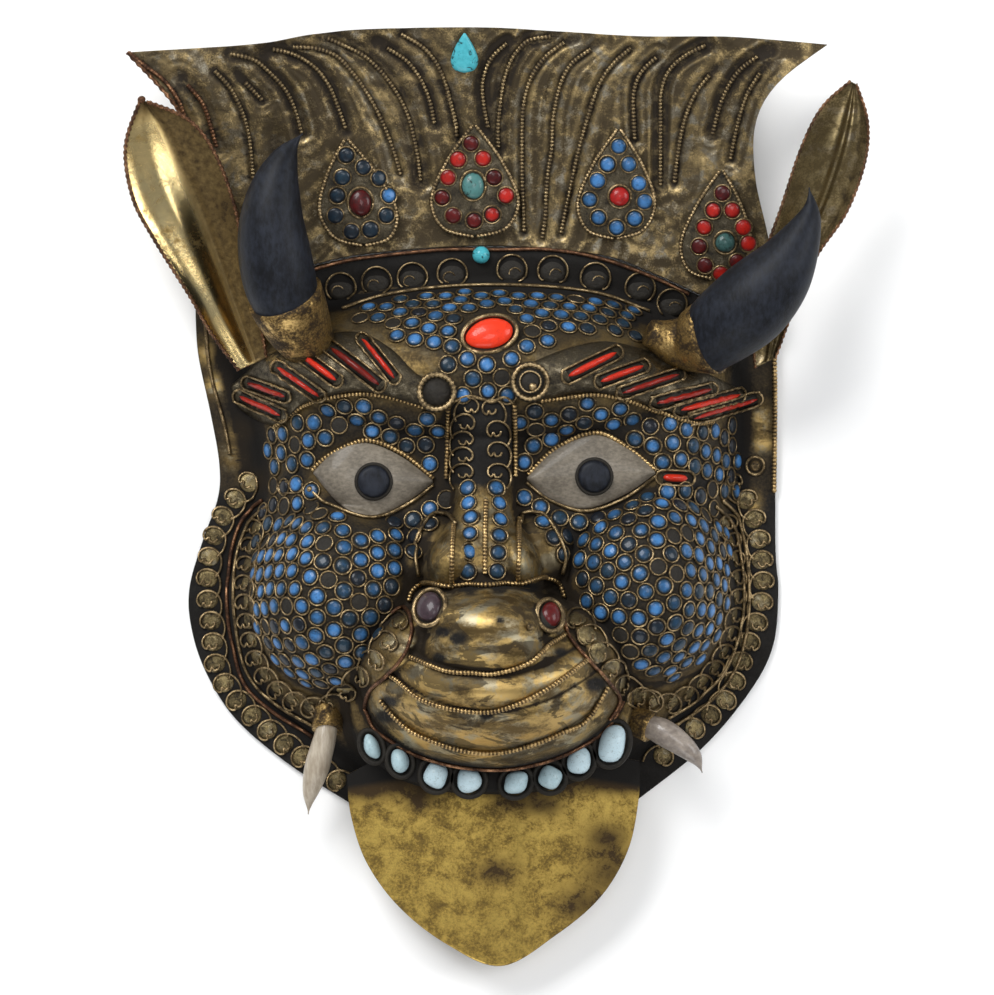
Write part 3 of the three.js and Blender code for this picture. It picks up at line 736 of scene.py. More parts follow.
def hollow_of(grid, level):
    """The level of the inside: one wall under the outside, measured square to it."""
    slope_y, slope_x = np.gradient(level)
    step_x = np.linalg.norm(np.gradient(grid, axis=1), axis=-1)
    step_y = np.linalg.norm(np.gradient(grid, axis=0), axis=-1)
    steep = np.sqrt(1 + (slope_x / step_x) ** 2 + (slope_y / step_y) ** 2)
    return np.maximum(level - WALL * np.minimum(steep, STEEPEST), 0)


inset_grid = distance_to(face_grid[..., 0], face_grid[..., 1], face_outline)
hollow_level = np.where(inset_grid < RIM_WIDTH, 0, hollow_of(face_grid, face_level))
face_under = with_height(face_grid, hollow_level)[::UNDER_STRIDE, ::UNDER_STRIDE]
face_shape = shell(with_height(face_grid, face_level), face_under)
print(f"the face stands {face_level.max():.1f} mm high")

# %% [markdown]
# The crown. It is a sheet of hair that spreads and leans forward to its top edge, with long flutes
# that sweep outwards. A flat plane bent by a modifier would give the lean, but not the flutes, which
# follow the hair wires that are laid between them. So the wires are named first, and the sheet's
# height is a function that rises away from them.

# %% The hair wires, as pixels of the photograph from root to tip
HAIR_PIXELS = [
    [(186, 122), (178, 99), (165, 81), (155, 72), (135, 59), (129, 52)],
    [(216, 146), (212, 132), (204, 106), (193, 90), (174, 72)],
    [(252, 177), (250, 151), (246, 124), (237, 100), (225, 80), (209, 66)],
    [(262, 99), (249, 86), (237, 72)],
    [(301, 132), (299, 123), (289, 95), (273, 75), (254, 59), (231, 54)],
    [(278, 151), (276, 131)],
    [(345, 127), (330, 87), (312, 64), (279, 48), (263, 55)],
    [(400, 173), (391, 143), (378, 112), (358, 79), (330, 51), (289, 46)],
    [(420, 179), (416, 148), (406, 110), (388, 79), (363, 54), (324, 36)],
    [(434, 122), (426, 89), (406, 59), (370, 38)],
    [(457, 127), (453, 110), (444, 79), (429, 51), (401, 33)],
    [(457, 135), (451, 104), (442, 77)],
    [(488, 126), (482, 91), (485, 71), (495, 51), (510, 40)],
    [(498, 146), (498, 122), (501, 96), (505, 75), (514, 54), (529, 39), (555, 35)],
    [(524, 230), (522, 173), (522, 135), (523, 107), (528, 84), (539, 63), (559, 44), (579, 37)],
    [(542, 237), (545, 219), (547, 179), (552, 144), (553, 116), (559, 89), (567, 67), (584, 53), (603, 39)],
    [(561, 232), (574, 170), (579, 147), (587, 119), (597, 88), (610, 66), (631, 47)],
    [(635, 138), (634, 89), (643, 69), (663, 51)],
    [(661, 184), (661, 115), (663, 82), (679, 59), (709, 43)],
    [(675, 181), (679, 148), (686, 115), (701, 84), (724, 61)],
    [(713, 133), (724, 94), (745, 64), (775, 48)],
    [(731, 158), (740, 115), (752, 84), (770, 61)],
]
hair_routes = [smooth_path(places(*route), 1.5) for route in HAIR_PIXELS]
print("hair wires:", len(hair_routes))

# %% The crown's height
CROWN_BOTTOM = [(-120.5, 79)] + [(x, y + 0.6) for x, y in FACE_TOP[1:-1]] + [(112, 67.4)]
CROWN_TOP = [(-147.5, 178), (-98, 181), (-74, 185), (-50, 187.3), (-6, 188), (26, 186.4), (58, 184.4),
             (94, 184), (132.5, 181)]
CROWN_LEFT = [(-120.5, 79), (-117, 105), (-119, 136), (-124, 150), (-132.5, 162), (-147.5, 178)]
CROWN_RIGHT = [(112, 67.5), (110, 100), (104, 128), (104, 150), (113, 166), (132.5, 181)]
CROWN_DROP = 0.9
FLUTE_RISE = 2.2
FLUTE_WIDTH = 4.2
STREAK_RISE = 0.9
STREAK_WIDTH = 1.5
STREAKS = 60
streak_table = np.random.default_rng(5).uniform(0, 1, (len(hair_routes), STREAKS))


def crown_level(x, y):
    """Height of the smooth crown sheet."""
    foot = 100 - 0.0032 * x**2
    climb = np.clip((y - foot) / 92, 0, 1.2)
    return 7 + 3.4 * (1 - (x / 118) ** 2) + 21 * climb**1.4


def hair_streaks(x, y):
    """How far the nearest hair wire is, and a number that changes only across the hair."""
    every = np.array([distance_to(x, y, route[::3]) for route in hair_routes])
    nearest, away = every.argmin(axis=0), every.min(axis=0)
    place = np.clip(away / STREAK_WIDTH, 0, STREAKS - 3)
    cell = place.astype(int)
    blend = smoothstep(place - cell, 0, 1)
    return away, lerp(streak_table[nearest, cell], streak_table[nearest, cell + 1], blend)


def crown_height(x, y):
    """Height of the fluted crown sheet."""
    x, y = np.asarray(x, float), np.asarray(y, float)
    away, streak = hair_streaks(x, y)
    flute = FLUTE_RISE * (1 - np.exp(-((away / FLUTE_WIDTH) ** 2)))
    ridge = STREAK_RISE * (streak - 0.5) * smoothstep(away, 1, 3) * (1 - smoothstep(away, 8, 15))
    return crown_level(x, y) - CROWN_DROP + flute + ridge

# %% The crown sheet
CROWN_COLUMNS = 361
CROWN_ROWS = 145
CROWN_STRIDE = 6
GOLD_PATCHES = places((170, 100), (190, 140), (150, 65), (230, 150), (440, 60), (392, 95), (620, 70),
                      (700, 150))
GOLD_REACH = 13.416

crown_grid = coons(CROWN_BOTTOM, CROWN_TOP, CROWN_LEFT, CROWN_RIGHT, CROWN_COLUMNS, CROWN_ROWS)
crown_front = crown_height(crown_grid[..., 0], crown_grid[..., 1])
crown_smooth = crown_level(crown_grid[..., 0], crown_grid[..., 1])
crown_under = with_height(crown_grid, crown_smooth - WALL)[::CROWN_STRIDE, ::CROWN_STRIDE]
crown_low = crown_smooth - CROWN_DROP + FLUTE_RISE - crown_front
gold_spots = sum(blot(crown_grid, at, GOLD_REACH) for at in GOLD_PATCHES)
_, crown_streak = hair_streaks(crown_grid[..., 0], crown_grid[..., 1])
crown_marks = {
    "streak": with_under(softened(crown_streak, 2), crown_under, 0.5),
    "hollow": with_under(smoothstep(crown_low, 0.9, 3.0) * 0.9, crown_under, 0.4),
    "gild": with_under(np.clip(gold_spots, 0, 1) * 0.5, crown_under),
}
crown_shape = shell(with_height(crown_grid, crown_front), crown_under)
piece("crown_sheet", crown_shape, crown_brass, "patinated_brass", "crown_plate", marks=crown_marks)

# %% [markdown]
# The ears. Each is a leaf of thin sheet, folded to a shallow trough and standing beside a horn. A
# smith cuts the leaf and hammers it over a groove. Two edges of the leaf are drawn here, a grid is
# laid between them, and sines press the trough and the roll into it, because a grid keeps the cut
# edges exact.

# %% Ear leaves
EARS = {
    "left": {
        "inner": [(-92, 56), (-95, 74), (-101, 96), (-104, 115), (-112, 137), (-122.5, 150.5), (-139, 157.6)],
        "outer": [(-103, 51), (-114, 66), (-122, 80), (-137, 104), (-145, 120), (-147.6, 140),
                  (-141.5, 158.4)],
        "foot": 26, "tip": 50, "depth": 8, "roll": 4.0, "roll_at": 0.66, "roll_width": 0.19,
        "finish": ear_brass, "shade": 0.85, "rope": 0.95,
    },
    "right": {
        "outer": [(104, 52), (103, 70), (107, 95), (114, 116), (122, 140), (130, 155.5), (141, 165.6)],
        "inner": [(112, 56), (119, 75), (128, 96), (140, 114), (147.2, 134), (148, 150), (143.4, 164.4)],
        "foot": 20, "tip": 52, "depth": 8, "roll": 3.2, "roll_at": 0.42, "roll_width": 0.06,
        "finish": old_ear_brass, "shade": 0.35, "rope": 0.75,
    },
}
LEAF_WALL = 1.8
EAR_COLUMNS = 97
EAR_ROWS = 37
EAR_STRIDE = 4
GROOVE_DEPTH = 1.4
GROOVE_WIDTH = 0.05


def ear_grid(ear):
    """The front of an ear as a grid of points."""
    u, v = shares(EAR_COLUMNS, EAR_ROWS)
    middle = np.maximum(np.sin(math.pi * u), 0)
    dip = np.maximum(np.sin(math.pi * v), 0) * middle**0.6
    roll = ear["roll"] * np.exp(-(((v - ear["roll_at"]) / ear["roll_width"]) ** 2)) * middle**0.5
    groove = GROOVE_DEPTH * np.exp(-(((v - ear["roll_at"] + 0.28) / GROOVE_WIDTH) ** 2)) * middle**0.5
    level = lerp(ear["foot"], ear["tip"], u) - ear["depth"] * dip + roll - groove
    return with_height(lofted(ear["inner"], ear["outer"], EAR_COLUMNS, EAR_ROWS), level)


ear_fronts = {side: ear_grid(ear) for side, ear in EARS.items()}
for side, ear in EARS.items():
    back = (ear_fronts[side] - [0, 0, LEAF_WALL])[::EAR_STRIDE, ::EAR_STRIDE]
    u, v = shares(EAR_COLUMNS, EAR_ROWS)
    # Painted shade: the inner half of each leaf and its tip are darkened for the shadow that falls there.
    inner_shade = smoothstep(1 - v, 1.17 - ear["roll_at"], 1.3 - ear["roll_at"])
    shade = np.clip(inner_shade + smoothstep(u, 0.86, 0.97), 0, 1) * ear["shade"]
    piece(f"ear_leaf_{side}", shell(ear_fronts[side], back), ear["finish"], "bright_brass", f"ear_{side}",
          marks={"hollow": with_under(shade, back, 0.3)})

# %% [markdown]
# Horns and tusks. They are solid and tapered, and each stands in a collar of sheet. A curve with a
# bevel could make them, but a bar through a few stations of place and radius reads like a drawing,
# and it is the same form that the solids have.

# %% Horns, tusks and their collars
GROWN = {
    "horn_left": {
        "bar": [(-82, 75, 46, 13.2), (-86, 86, 49, 14.6), (-88.8, 102, 52, 14.4), (-89, 114, 54, 12.8),
                (-86.8, 127, 55, 10), (-82.5, 137.6, 55, 5.6), (-76.8, 144.8, 55, 0)],
        "collar": [(-73, 58, 34, 10), (-79, 69, 41, 13.5), (-84, 80, 47.4, 15.4)],
        "finish": black_horn, "slot": "black_horn", "sides": 40, "rings": 60,
    },
    "tusk_left": {
        "bar": [(-67.4, -91, 25, 4.2), (-69, -98, 26, 4.8), (-72, -109, 25, 4.9), (-74.5, -119, 22, 3.2),
                (-75.3, -127, 19, 0)],
        "collar": [(-67, -84, 21, 5.6), (-67.6, -93, 25.3, 6.2)],
        "finish": ivory_tusk, "slot": "tusk", "sides": 24, "rings": 40,
    },
    "horn_right": {
        "bar": [(82, 61, 38, 13.4), (91, 68.5, 44, 15.6), (101.4, 77, 49, 16.4), (113, 89.6, 53, 14.6),
                (121, 103, 55, 10.5), (125, 114, 56, 5.6), (124.4, 123.2, 56, 0)],
        "collar": [(61, 66, 38, 5.4), (73, 62, 35, 11), (86, 64.4, 40.6, 15.4)],
        "finish": black_horn, "slot": "black_horn", "sides": 40, "rings": 60,
    },
    "tusk_right": {
        "bar": [(60, -91, 27, 4.4), (67, -94, 30, 5.4), (75, -99.4, 32, 4.8), (80, -104.5, 32, 3.2),
                (82.5, -110, 30, 0)],
        "collar": [(54, -88.6, 24, 5.8), (62, -92, 28, 6.3)],
        "finish": smoky_tusk, "slot": "smoky_tusk", "sides": 24, "rings": 40,
    },
}
COLLAR_RINGS = 12

for name, form in GROWN.items():
    kind, side = name.split("_")
    grown = tube(Shape(), *bar(form["bar"], form["rings"]), form["sides"])
    piece(f"{name}_grown", grown, form["finish"], form["slot"], name)
    collar = tube(Shape(), *bar(form["collar"], COLLAR_RINGS), form["sides"])
    piece(f"{kind}_collar_{side}", collar, collar_brass, "bright_brass", f"{kind}_socket_{side}")

# %% [markdown]
# Brows and eyes. They are applied pieces with a rounded front and a back that fits the face. A
# shrinkwrap modifier could press a plate to the face, but it would drag the rounded front along. Both
# come from one function instead: a grid between a lower and an upper edge that swells above the face.

# %% Pieces that swell from the face
EDGE_RISE = 1.3
SEAT_DEPTH = 1.0
SEAT_STRIDE = 4


def applied(form, rise, bulge, columns, rows):
    """The front and the back of a pillow on the face between two edges."""
    grid = lofted(form["lower"], form["upper"], columns, rows)
    u, v = shares(columns, rows)
    swell = np.maximum(np.sin(math.pi * v), 0) * np.sqrt(np.maximum(np.sin(math.pi * u), 0))
    base = face_height(grid[..., 0], grid[..., 1])
    front = with_height(grid, base + EDGE_RISE + (rise - EDGE_RISE) * swell**bulge)
    return front, with_height(grid, base - SEAT_DEPTH)[::SEAT_STRIDE, ::SEAT_STRIDE]


BROWS = {
    "left": {
        "lower": [(-106.5, 43.5), (-102.5, 35), (-88, 29), (-75.5, 37.5), (-53, 42), (-28, 36), (-17, 40)],
        "upper": [(-106.5, 45.5), (-91, 57), (-70, 64.5), (-55, 66), (-42, 59.5), (-31, 49), (-17, 43)],
    },
    "right": {
        "lower": [(7, 44), (15, 38.5), (38, 42), (63, 36), (84, 30.5), (105, 38.5)],
        "upper": [(7, 48), (15, 54), (34, 61), (50, 61.5), (78, 52.5), (105, 40.5)],
    },
}
EYES = {
    "left": {
        "lower": [(-73, 9.5), (-62, -3), (-49.5, -7.6), (-36, -2), (-25.2, 5.9)],
        "upper": [(-73, 10.5), (-64, 19), (-52, 22), (-38, 16.5), (-25.2, 6.9)],
        "pupil": (-48.8, 6.4),
    },
    "right": {
        "lower": [(12.4, 7.1), (22, -1), (36, -4.4), (52, 1.5), (63.6, 9.5)],
        "upper": [(12.4, 8.1), (24, 19.5), (40, 25.2), (54, 19), (63.6, 10.5)],
        "pupil": (39.2, 8.4),
    },
}
BROW_RISE, BROW_BULGE = 6, 0.5
EYE_RISE, EYE_BULGE = 7, 0.8

brow_fronts = {}
for side, brow in BROWS.items():
    brow_fronts[side], back = applied(brow, BROW_RISE, BROW_BULGE, 97, 25)
    brow_shape = shell(brow_fronts[side], back)
    piece(f"brow_plate_{side}", brow_shape, plate_silver, "patinated_brass", f"brow_{side}")
for side, eye in EYES.items():
    piece(f"eye_bone_{side}", shell(*applied(eye, EYE_RISE, EYE_BULGE, 65, 33)), bone, "bone", f"eye_{side}")

# %% Pupils
PUPIL_RADIUS = 6.4
STUD_PROFILE = [(6.4, -4), (6.4, 0.9), (6.15, 1.7), (5.5, 2.3), (4.6, 2.6), (2, 2.6), (0.3, 2.6)]


def turned(shape, at, profile, sides=32, tint=0.5):
    """A round thing turned about an upright line; the profile runs from its foot to its middle."""
    profile = np.array(profile, float)
    turn = full_turn(sides)
    rings = np.stack([
        at[0] + profile[:, :1] * np.cos(turn),
        at[1] + profile[:, :1] * np.sin(turn),
        at[2] + profile[:, 1:] + 0 * turn,
    ], axis=-1)
    return shape.add(rings.reshape(-1, 3), ring_faces(len(profile), sides), tint)


for side, eye in EYES.items():
    eye["level"] = float(face_height(*eye["pupil"])) + EYE_RISE
    stud = turned(Shape(), (*eye["pupil"], eye["level"]), STUD_PROFILE)
    piece(f"pupil_stud_{side}", stud, black_horn, "black_horn", f"pupil_{side}")

# %% Pebbles
def pebble(shape, at, half, turn=0.0, around=24, down=14, tint=0.5, roughness=0.0, seed=1):
    """A smooth stone of the given half sizes; a little roughness makes it a natural one."""
    draw = np.random.default_rng(seed)
    lat = np.linspace(0.04, math.pi - 0.04, down)[:, None]
    lon = full_turn(around)[None, :]
    lumps = sum(
        draw.uniform(-1, 1) * np.cos(k * lon + draw.uniform(0, 6)) * np.sin(lat) ** k for k in (2, 3, 4)
    )
    reach = 1 + roughness * lumps
    x = half[0] * np.sin(lat) * np.cos(lon) * reach
    y = half[1] * np.sin(lat) * np.sin(lon) * reach
    z = half[2] * np.cos(lat) * np.ones_like(lon)
    px = at[0] + x * math.cos(turn) - y * math.sin(turn)
    py = at[1] + x * math.sin(turn) + y * math.cos(turn)
    points = np.stack([px, py, at[2] + z], axis=-1)[::-1]
    return shape.add(points.reshape(-1, 3), ring_faces(down, around), tint)


def facing(at, reach=6.0, level=4.0):
    """Two directions along the face at a place and one square to it."""
    x, y = at
    slope_x = float(face_height(x + reach, y) - face_height(x - reach, y)) / (2 * reach)
    slope_y = float(face_height(x, y + reach) - face_height(x, y - reach)) / (2 * reach)
    up = np.array([-slope_x, -slope_y, level])
    up /= np.linalg.norm(up)
    side = np.cross([0.0, 1.0, 0.0], up)
    side /= np.linalg.norm(side)
    return np.stack([side, np.cross(up, side), up])


def set_pebble(shape, at, half, turn=0.0, lift=0.0, tint=0.5, roughness=0.0):
    """A pebble laid square to the face, nearly as high as the highest metal under its edge."""
    loose = pebble(Shape(), (0, 0, lift), half, turn, roughness=roughness)
    nearby = face_height(*oval(at, half, 0, 12).T)
    centre = np.array([*at, max(float(face_height(*at)), float(nearby.mean() * 0.45 + nearby.max() * 0.55))])
    laid = np.concatenate(loose.points) @ facing(at) + centre
    return shape.add(laid, [np.array(group) for group in loose.faces], tint)

# %% The coral, the nostril stones and the teeth
FACE_STONES = {
    "forehead_coral": {"at": (-2.6, 65), "half": (9.6, 6.0, 3.2), "turn": 0.24, "finish": coral,
                       "slot": "coral", "tint": 0.8},
    "nostril_stone_left": {"at": (-26, -43.6), "half": (5.4, 6.4, 3), "turn": 0.3, "finish": nostril_stone,
                           "slot": "dark_red_stone", "tint": 0.4},
    "nostril_stone_right": {"at": (21.2, -46.8), "half": (4.2, 5.4, 3), "turn": -0.2, "finish": dark_red,
                            "slot": "dark_red_stone", "tint": 0.3},
}
TEETH = [
    {"at": (-49.6, -99.5), "half": (3, 5.2), "turn": 0.4, "tint": 0.6},
    {"at": (-38.4, -105.2), "half": (3.6, 4.9), "turn": 0.3, "tint": 0.65},
    {"at": (-24, -110.8), "half": (4.9, 5.4), "turn": 0.2, "tint": 0.85},
    {"at": (-10.8, -112.8), "half": (5.2, 5.1), "turn": 0, "tint": 0.9},
    {"at": (8, -113.8), "half": (5.2, 4.4), "turn": 0.5, "tint": 0.7},
    {"at": (21.6, -111.8), "half": (4.8, 4.7), "turn": -0.3, "tint": 0.65},
    {"at": (33.2, -105.2), "half": (4.7, 5.6), "turn": -0.3, "tint": 0.9},
    {"at": (46.4, -98.4), "half": (5.4, 7.8), "turn": -0.3, "tint": 0.95},
]
TOOTH_HEIGHT = 5

for name, gem in FACE_STONES.items():
    cut = set_pebble(Shape(), gem["at"], gem["half"], gem["turn"], 0.9, gem["tint"], roughness=0.03)
    piece(f"{name}_cut", cut, gem["finish"], gem["slot"], name)
for index, tooth in enumerate(TEETH, 1):
    tooth["level"] = float(ledge_height(*tooth["at"])) + WALL
    cut = pebble(Shape(), (*tooth["at"], tooth["level"] + 1), (*tooth["half"], TOOTH_HEIGHT), tooth["turn"],
                 tint=tooth["tint"], roughness=0.06, seed=index)
    piece(f"tooth_stone_{index}", cut, pale_stone, "pale_stone", f"tooth_{index}")

# %% [markdown]
# The tongue is one flat sheet that hangs below the teeth, with a slight crease down its middle. A
# smith would cut it with shears and crease it over an edge. A plane with a solidify modifier would
# do, but the stains need many points to hold them, so it is a grid between two cut edges as well.

# %% Tongue
TONGUE_LOWER = [(-59.6, -112), (-58.2, -127), (-52, -146), (-39, -164), (-20, -179), (2, -188), (24, -175.5),
                (42, -160), (53, -141), (57.2, -120), (57.4, -106.4)]
TONGUE_UPPER = [(-59.6, -111), (-40, -104), (0, -110), (40, -104), (57.4, -105.4)]
TONGUE_WALL = 1.6
TONGUE_STRIDE = 8
CREASE_AT, CREASE_WIDTH, CREASE_DEPTH = 3.6, 7, 1.2
TONGUE_STAINS = [((-52, -116), 7), ((6, -121), 6), ((20, -123), 5), ((50, -112), 5), ((47, -150), 9),
                 ((44, -136), 6), ((34, -164), 8), ((-30, -121), 5), ((0, -150), 6)]
STAIN_STRETCH = 1.5

tongue_grid = lofted(TONGUE_LOWER, TONGUE_UPPER, 161, 97)
tongue_x, tongue_y = tongue_grid[..., 0], tongue_grid[..., 1]
crease = CREASE_DEPTH * np.exp(-(((tongue_x - CREASE_AT) / CREASE_WIDTH) ** 2))
tongue_top = with_height(tongue_grid, lerp(27, 19, (tongue_y + 104) / -84) - crease)
tongue_under = (tongue_top - [0, 0, TONGUE_WALL])[::TONGUE_STRIDE, ::TONGUE_STRIDE]
root_shade = 0.8 * (1 - smoothstep(-tongue_y, 114, 122))
stain_share = sum(blot(tongue_grid, at, reach, STAIN_STRETCH) for at, reach in TONGUE_STAINS)
tongue_marks = {
    "hollow": with_under(np.clip(root_shade + 0.75 * stain_share, 0, 1), tongue_under),
    "black": with_under(smoothstep(tongue_y + 0.0016 * tongue_x**2, -113, -109), tongue_under),
}
tongue_shape = shell(tongue_top, tongue_under)
piece("tongue_sheet", tongue_shape, tongue_brass, "bright_brass", "tongue", marks=tongue_marks)

# %% [markdown]
# The crown's plaques are drop-shaped plates with a low swelling, cut out and soldered on. A flat disc
# could be pulled to a drop by hand. Here half of the drop's edge is five places, which are mirrored
# and scaled for each plaque, so that all four are sisters.

# %% Plaques and the crown's own stones
DROP_EDGE = [(0.02, 0), (0.72, 0.08), (1, 0.33), (0.62, 0.68), (0.02, 1)]
PLAQUES = [
    {"foot": (-53.2, 101.2), "apex": (-60, 143.5), "half": 16},
    {"foot": (-8.4, 104.8), "apex": (-8.8, 149), "half": 18},
    {"foot": (47.8, 104), "apex": (49.2, 147.5), "half": 16},
    {"foot": (87.2, 88), "apex": (90.4, 131), "half": 14.5},
]
TURQUOISE_DROP = {"foot": (-12.6, 170), "apex": (-12.6, 185.6), "half": 5.2}
PLAQUE_RISE, DROP_RISE = 3.2, 2.6
PLAQUE_SEAT = 1.9


def drop_edge(form, sign, narrower=0.0):
    """One side of a drop's edge."""
    (foot_x, foot_y), (apex_x, apex_y) = form["foot"], form["apex"]
    return [
        (lerp(foot_x, apex_x, up) + sign * (wide * (form["half"] - narrower) + 0.3), lerp(foot_y, apex_y, up))
        for wide, up in DROP_EDGE
    ]


def plaque(form, rise, columns, rows):
    """The front and the back of a drop-shaped plate on the crown."""
    grid = lofted(drop_edge(form, 1), drop_edge(form, -1), columns, rows)
    u, v = shares(columns, rows)
    swell = np.sqrt(np.maximum(np.sin(math.pi * v) * np.sin(math.pi * u), 0))
    under = crown_level(grid[..., 0], grid[..., 1]) + PLAQUE_SEAT
    front = with_height(grid, under + rise * (0.4 + 0.6 * swell))
    return front, with_height(grid, under - 0.6)[::SEAT_STRIDE, ::SEAT_STRIDE]


plaque_fronts = []
for index, form in enumerate(PLAQUES, 1):
    front, back = plaque(form, PLAQUE_RISE, 49, 33)
    plaque_fronts.append(front)
    piece(f"plaque_{index}", shell(front, back), plate_silver, "patinated_brass", f"pendant_{index}")

crown_drop = shell(*plaque(TURQUOISE_DROP, DROP_RISE, 25, 13))
piece("crown_drop_cut", crown_drop, turquoise, "turquoise", "crown_drop")
crown_round = pebble(Shape(), (-6, 97.5, WALL + 9), (3.5, 3.5, 3))
piece("crown_round_cut", crown_round, turquoise, "turquoise", "crown_round")

# %% [markdown]
# Everything small lies on a surface that is already made. Each surface is read once on a fine grid,
# and after that any place on it gives its height and the way it faces, so that a ring or a wire can
# be laid square to the metal wherever it goes, also down the steep sides of a cheek.

# %% Surfaces to lay things on
class Relief:
    """A surface that tells its height and the way it faces at any place."""

    def __init__(self, height, low, high, step=0.7):
        self.low = np.array(low, float)
        self.step = step
        across = low[0] + step * np.arange(int((high[0] - low[0]) / step) + 2)
        up = low[1] + step * np.arange(int((high[1] - low[1]) / step) + 2)
        self.level = height(*np.meshgrid(across, up))
        self.slope_y, self.slope_x = np.gradient(self.level, step)

    def read(self, table, route):
        column = np.clip((route[..., 0] - self.low[0]) / self.step, 0, table.shape[1] - 1.001)
        row = np.clip((route[..., 1] - self.low[1]) / self.step, 0, table.shape[0] - 1.001)
        i, j = row.astype(int), column.astype(int)
        s, t = row - i, column - j
        return lerp(lerp(table[i, j], table[i, j + 1], t), lerp(table[i + 1, j], table[i + 1, j + 1], t), s)

    def up(self, route):
        slopes = [-self.read(self.slope_x, route), -self.read(self.slope_y, route)]
        up = np.stack([*slopes, np.ones_like(slopes[0])], axis=-1)
        return up / np.linalg.norm(up, axis=-1, keepdims=True)

    def lay(self, route, lift=0.0):
        """A flat route, laid on the surface and lifted square to it."""
        route = np.asarray(route, float)[..., :2]
        return with_height(route, self.read(self.level, route)) + lift * self.up(route)


def relief_of(grid, step=0.9, softness=0.8):
    """The relief of a made piece, read from its own points."""
    points = grid[::2, ::2].reshape(-1, 3)

    def height(x, y):
        spots = np.stack([x.ravel(), y.ravel()], axis=1)
        away = ((spots[:, None, :] - points[None, :, :2]) ** 2).sum(-1)
        weight = np.exp(-(away - away.min(1, keepdims=True)) / softness)
        return ((weight * points[:, 2]).sum(1) / weight.sum(1)).reshape(x.shape)

    low, high = grid.reshape(-1, 3).min(0), grid.reshape(-1, 3).max(0)
    return Relief(height, low[:2] - 2, high[:2] + 2, step)


face_relief = Relief(face_height, (-126, -132), (116, 104))
crown_relief = Relief(crown_height, (-150, 66), (135, 190), 0.9)
brow_reliefs = {side: relief_of(front) for side, front in brow_fronts.items()}
plaque_reliefs = [relief_of(front) for front in plaque_fronts]
print("surfaces read:", 2 + len(brow_reliefs) + len(plaque_reliefs))

# %% [markdown]
# Wires. Three kinds lie on the mask: plain round wire, beaded wire, which is rolled between grooved
# plates until it looks like a string of pearls, and two thin wires twisted to a rope. A curve with a
# bevel would give only the plain kind. Here all three are tubes, and only the radius along them or
# round them changes.

# %% Plain, beaded and twisted wires
WIRE_SIDES, BEAD_SIDES, ROPE_SIDES = 6, 7, 8
BEAD, BEAD_RINGS = 1.5, 4
ROPE_RINGS = 7


def plain_wire(shape, relief, route, radius=0.6, lift=0.3, spacing=1.2):
    """A smooth wire laid along a route."""
    path = relief.lay(smooth_path(route, spacing), lift)
    return tube(shape, path, radius, WIRE_SIDES, relief.up(path))


def beaded_wire(shape, relief, route, radius=1.0, lift=0.8):
    """A wire laid along a route, with one bead after another."""
    path = relief.lay(smooth_path(route, 1.0), lift)
    path = even(path, int(travelled(path)[-1] / BEAD * BEAD_RINGS) + 2)
    swell = np.abs(np.sin(math.pi * travelled(path) / BEAD)) ** 0.7
    radii = radius * (0.55 + 0.45 * swell)
    return tube(shape, path, radii, BEAD_SIDES, relief.up(path), tint=np.repeat(swell, BEAD_SIDES))


def rope(shape, path, radius=0.9, twist=3.4):
    """Two wires twisted together along a path; twist is the length of one turn."""
    path = even(path, int(travelled(path)[-1] / twist * ROPE_RINGS) + 2)
    phase = 2 * math.pi * travelled(path)[:, None] / twist
    radii = radius * (0.78 + 0.22 * np.cos(2 * (full_turn(ROPE_SIDES) - phase / 2)))
    return tube(shape, path, radii, ROPE_SIDES)

# %% [markdown]
# The hair wires lie in the valleys of the crown. Some are copper, most are brass that has gone olive.
# They could be drawn by hand on the finished sheet, but then each change of the sheet would leave
# them in the air. They follow the same routes that made the flutes, so each stays in its valley.

# %% Hair wires
COPPER_HAIRS = {0, 1}
HAIR_STRIDE = 6
hair_brass, hair_copper = Shape(), Shape()
for index, route in enumerate(hair_routes):
    wires = hair_copper if index in COPPER_HAIRS else hair_brass
    beaded_wire(wires, crown_relief, route[::HAIR_STRIDE], radius=1.0, lift=0.75)
piece("hair_wires", hair_brass, hair_finish, "patinated_brass")
piece("hair_wires_copper", hair_copper, copper, "copper_wire")

# %% [markdown]
# The face wires. Beaded wire marks every fold and edge of the face; smooth wire runs where two
# sheets meet, along the lips, the sides of the muzzle and the rim of each cheek.

# %% Routes of the face wires, in pixels of the photograph
BEADED_PIXELS = {
    "muzzle_top": [(410, 602), (413, 590), (424, 582), (459, 584), (487, 586), (515, 582), (543, 576),
                   (558, 582), (565, 598)],
    "fold_1": [(409, 655), (430, 663), (452, 670), (480, 671), (508, 666), (529, 658), (543, 647),
               (563, 634)],
    "fold_2": [(393, 673), (418, 694), (445, 704), (466, 707), (494, 706), (522, 697), (554, 680),
               (584, 659)],
    "fold_3": [(382, 697), (407, 724), (438, 739), (473, 748), (503, 748), (536, 739), (560, 729), (584, 718),
               (605, 685)],
    "nose_middle": [(486, 500), (485, 530), (485, 573)],
    "nose_left": [(455, 525), (453, 550), (452, 581)],
    "nose_right": [(517, 518), (518, 548), (518, 577)],
    "lid_left": [(313, 470), (330, 454), (366, 439), (402, 452), (434, 478)],
    "lid_right": [(527, 475), (556, 447), (596, 431), (630, 448), (656, 470)],
    "brow_edge_left": [(276, 426), (307, 404), (334, 396), (364, 393), (393, 397), (424, 406)],
    "brow_edge_right": [(712, 421), (691, 422), (653, 409), (622, 398), (592, 394), (557, 398), (540, 400)],
    "bridge_left": [(449, 398), (448, 430), (447, 478)],
    "bridge_right": [(513, 404), (513, 440), (513, 476)],
    "strip_right": [(776, 330), (777, 400), (776, 492)],
}
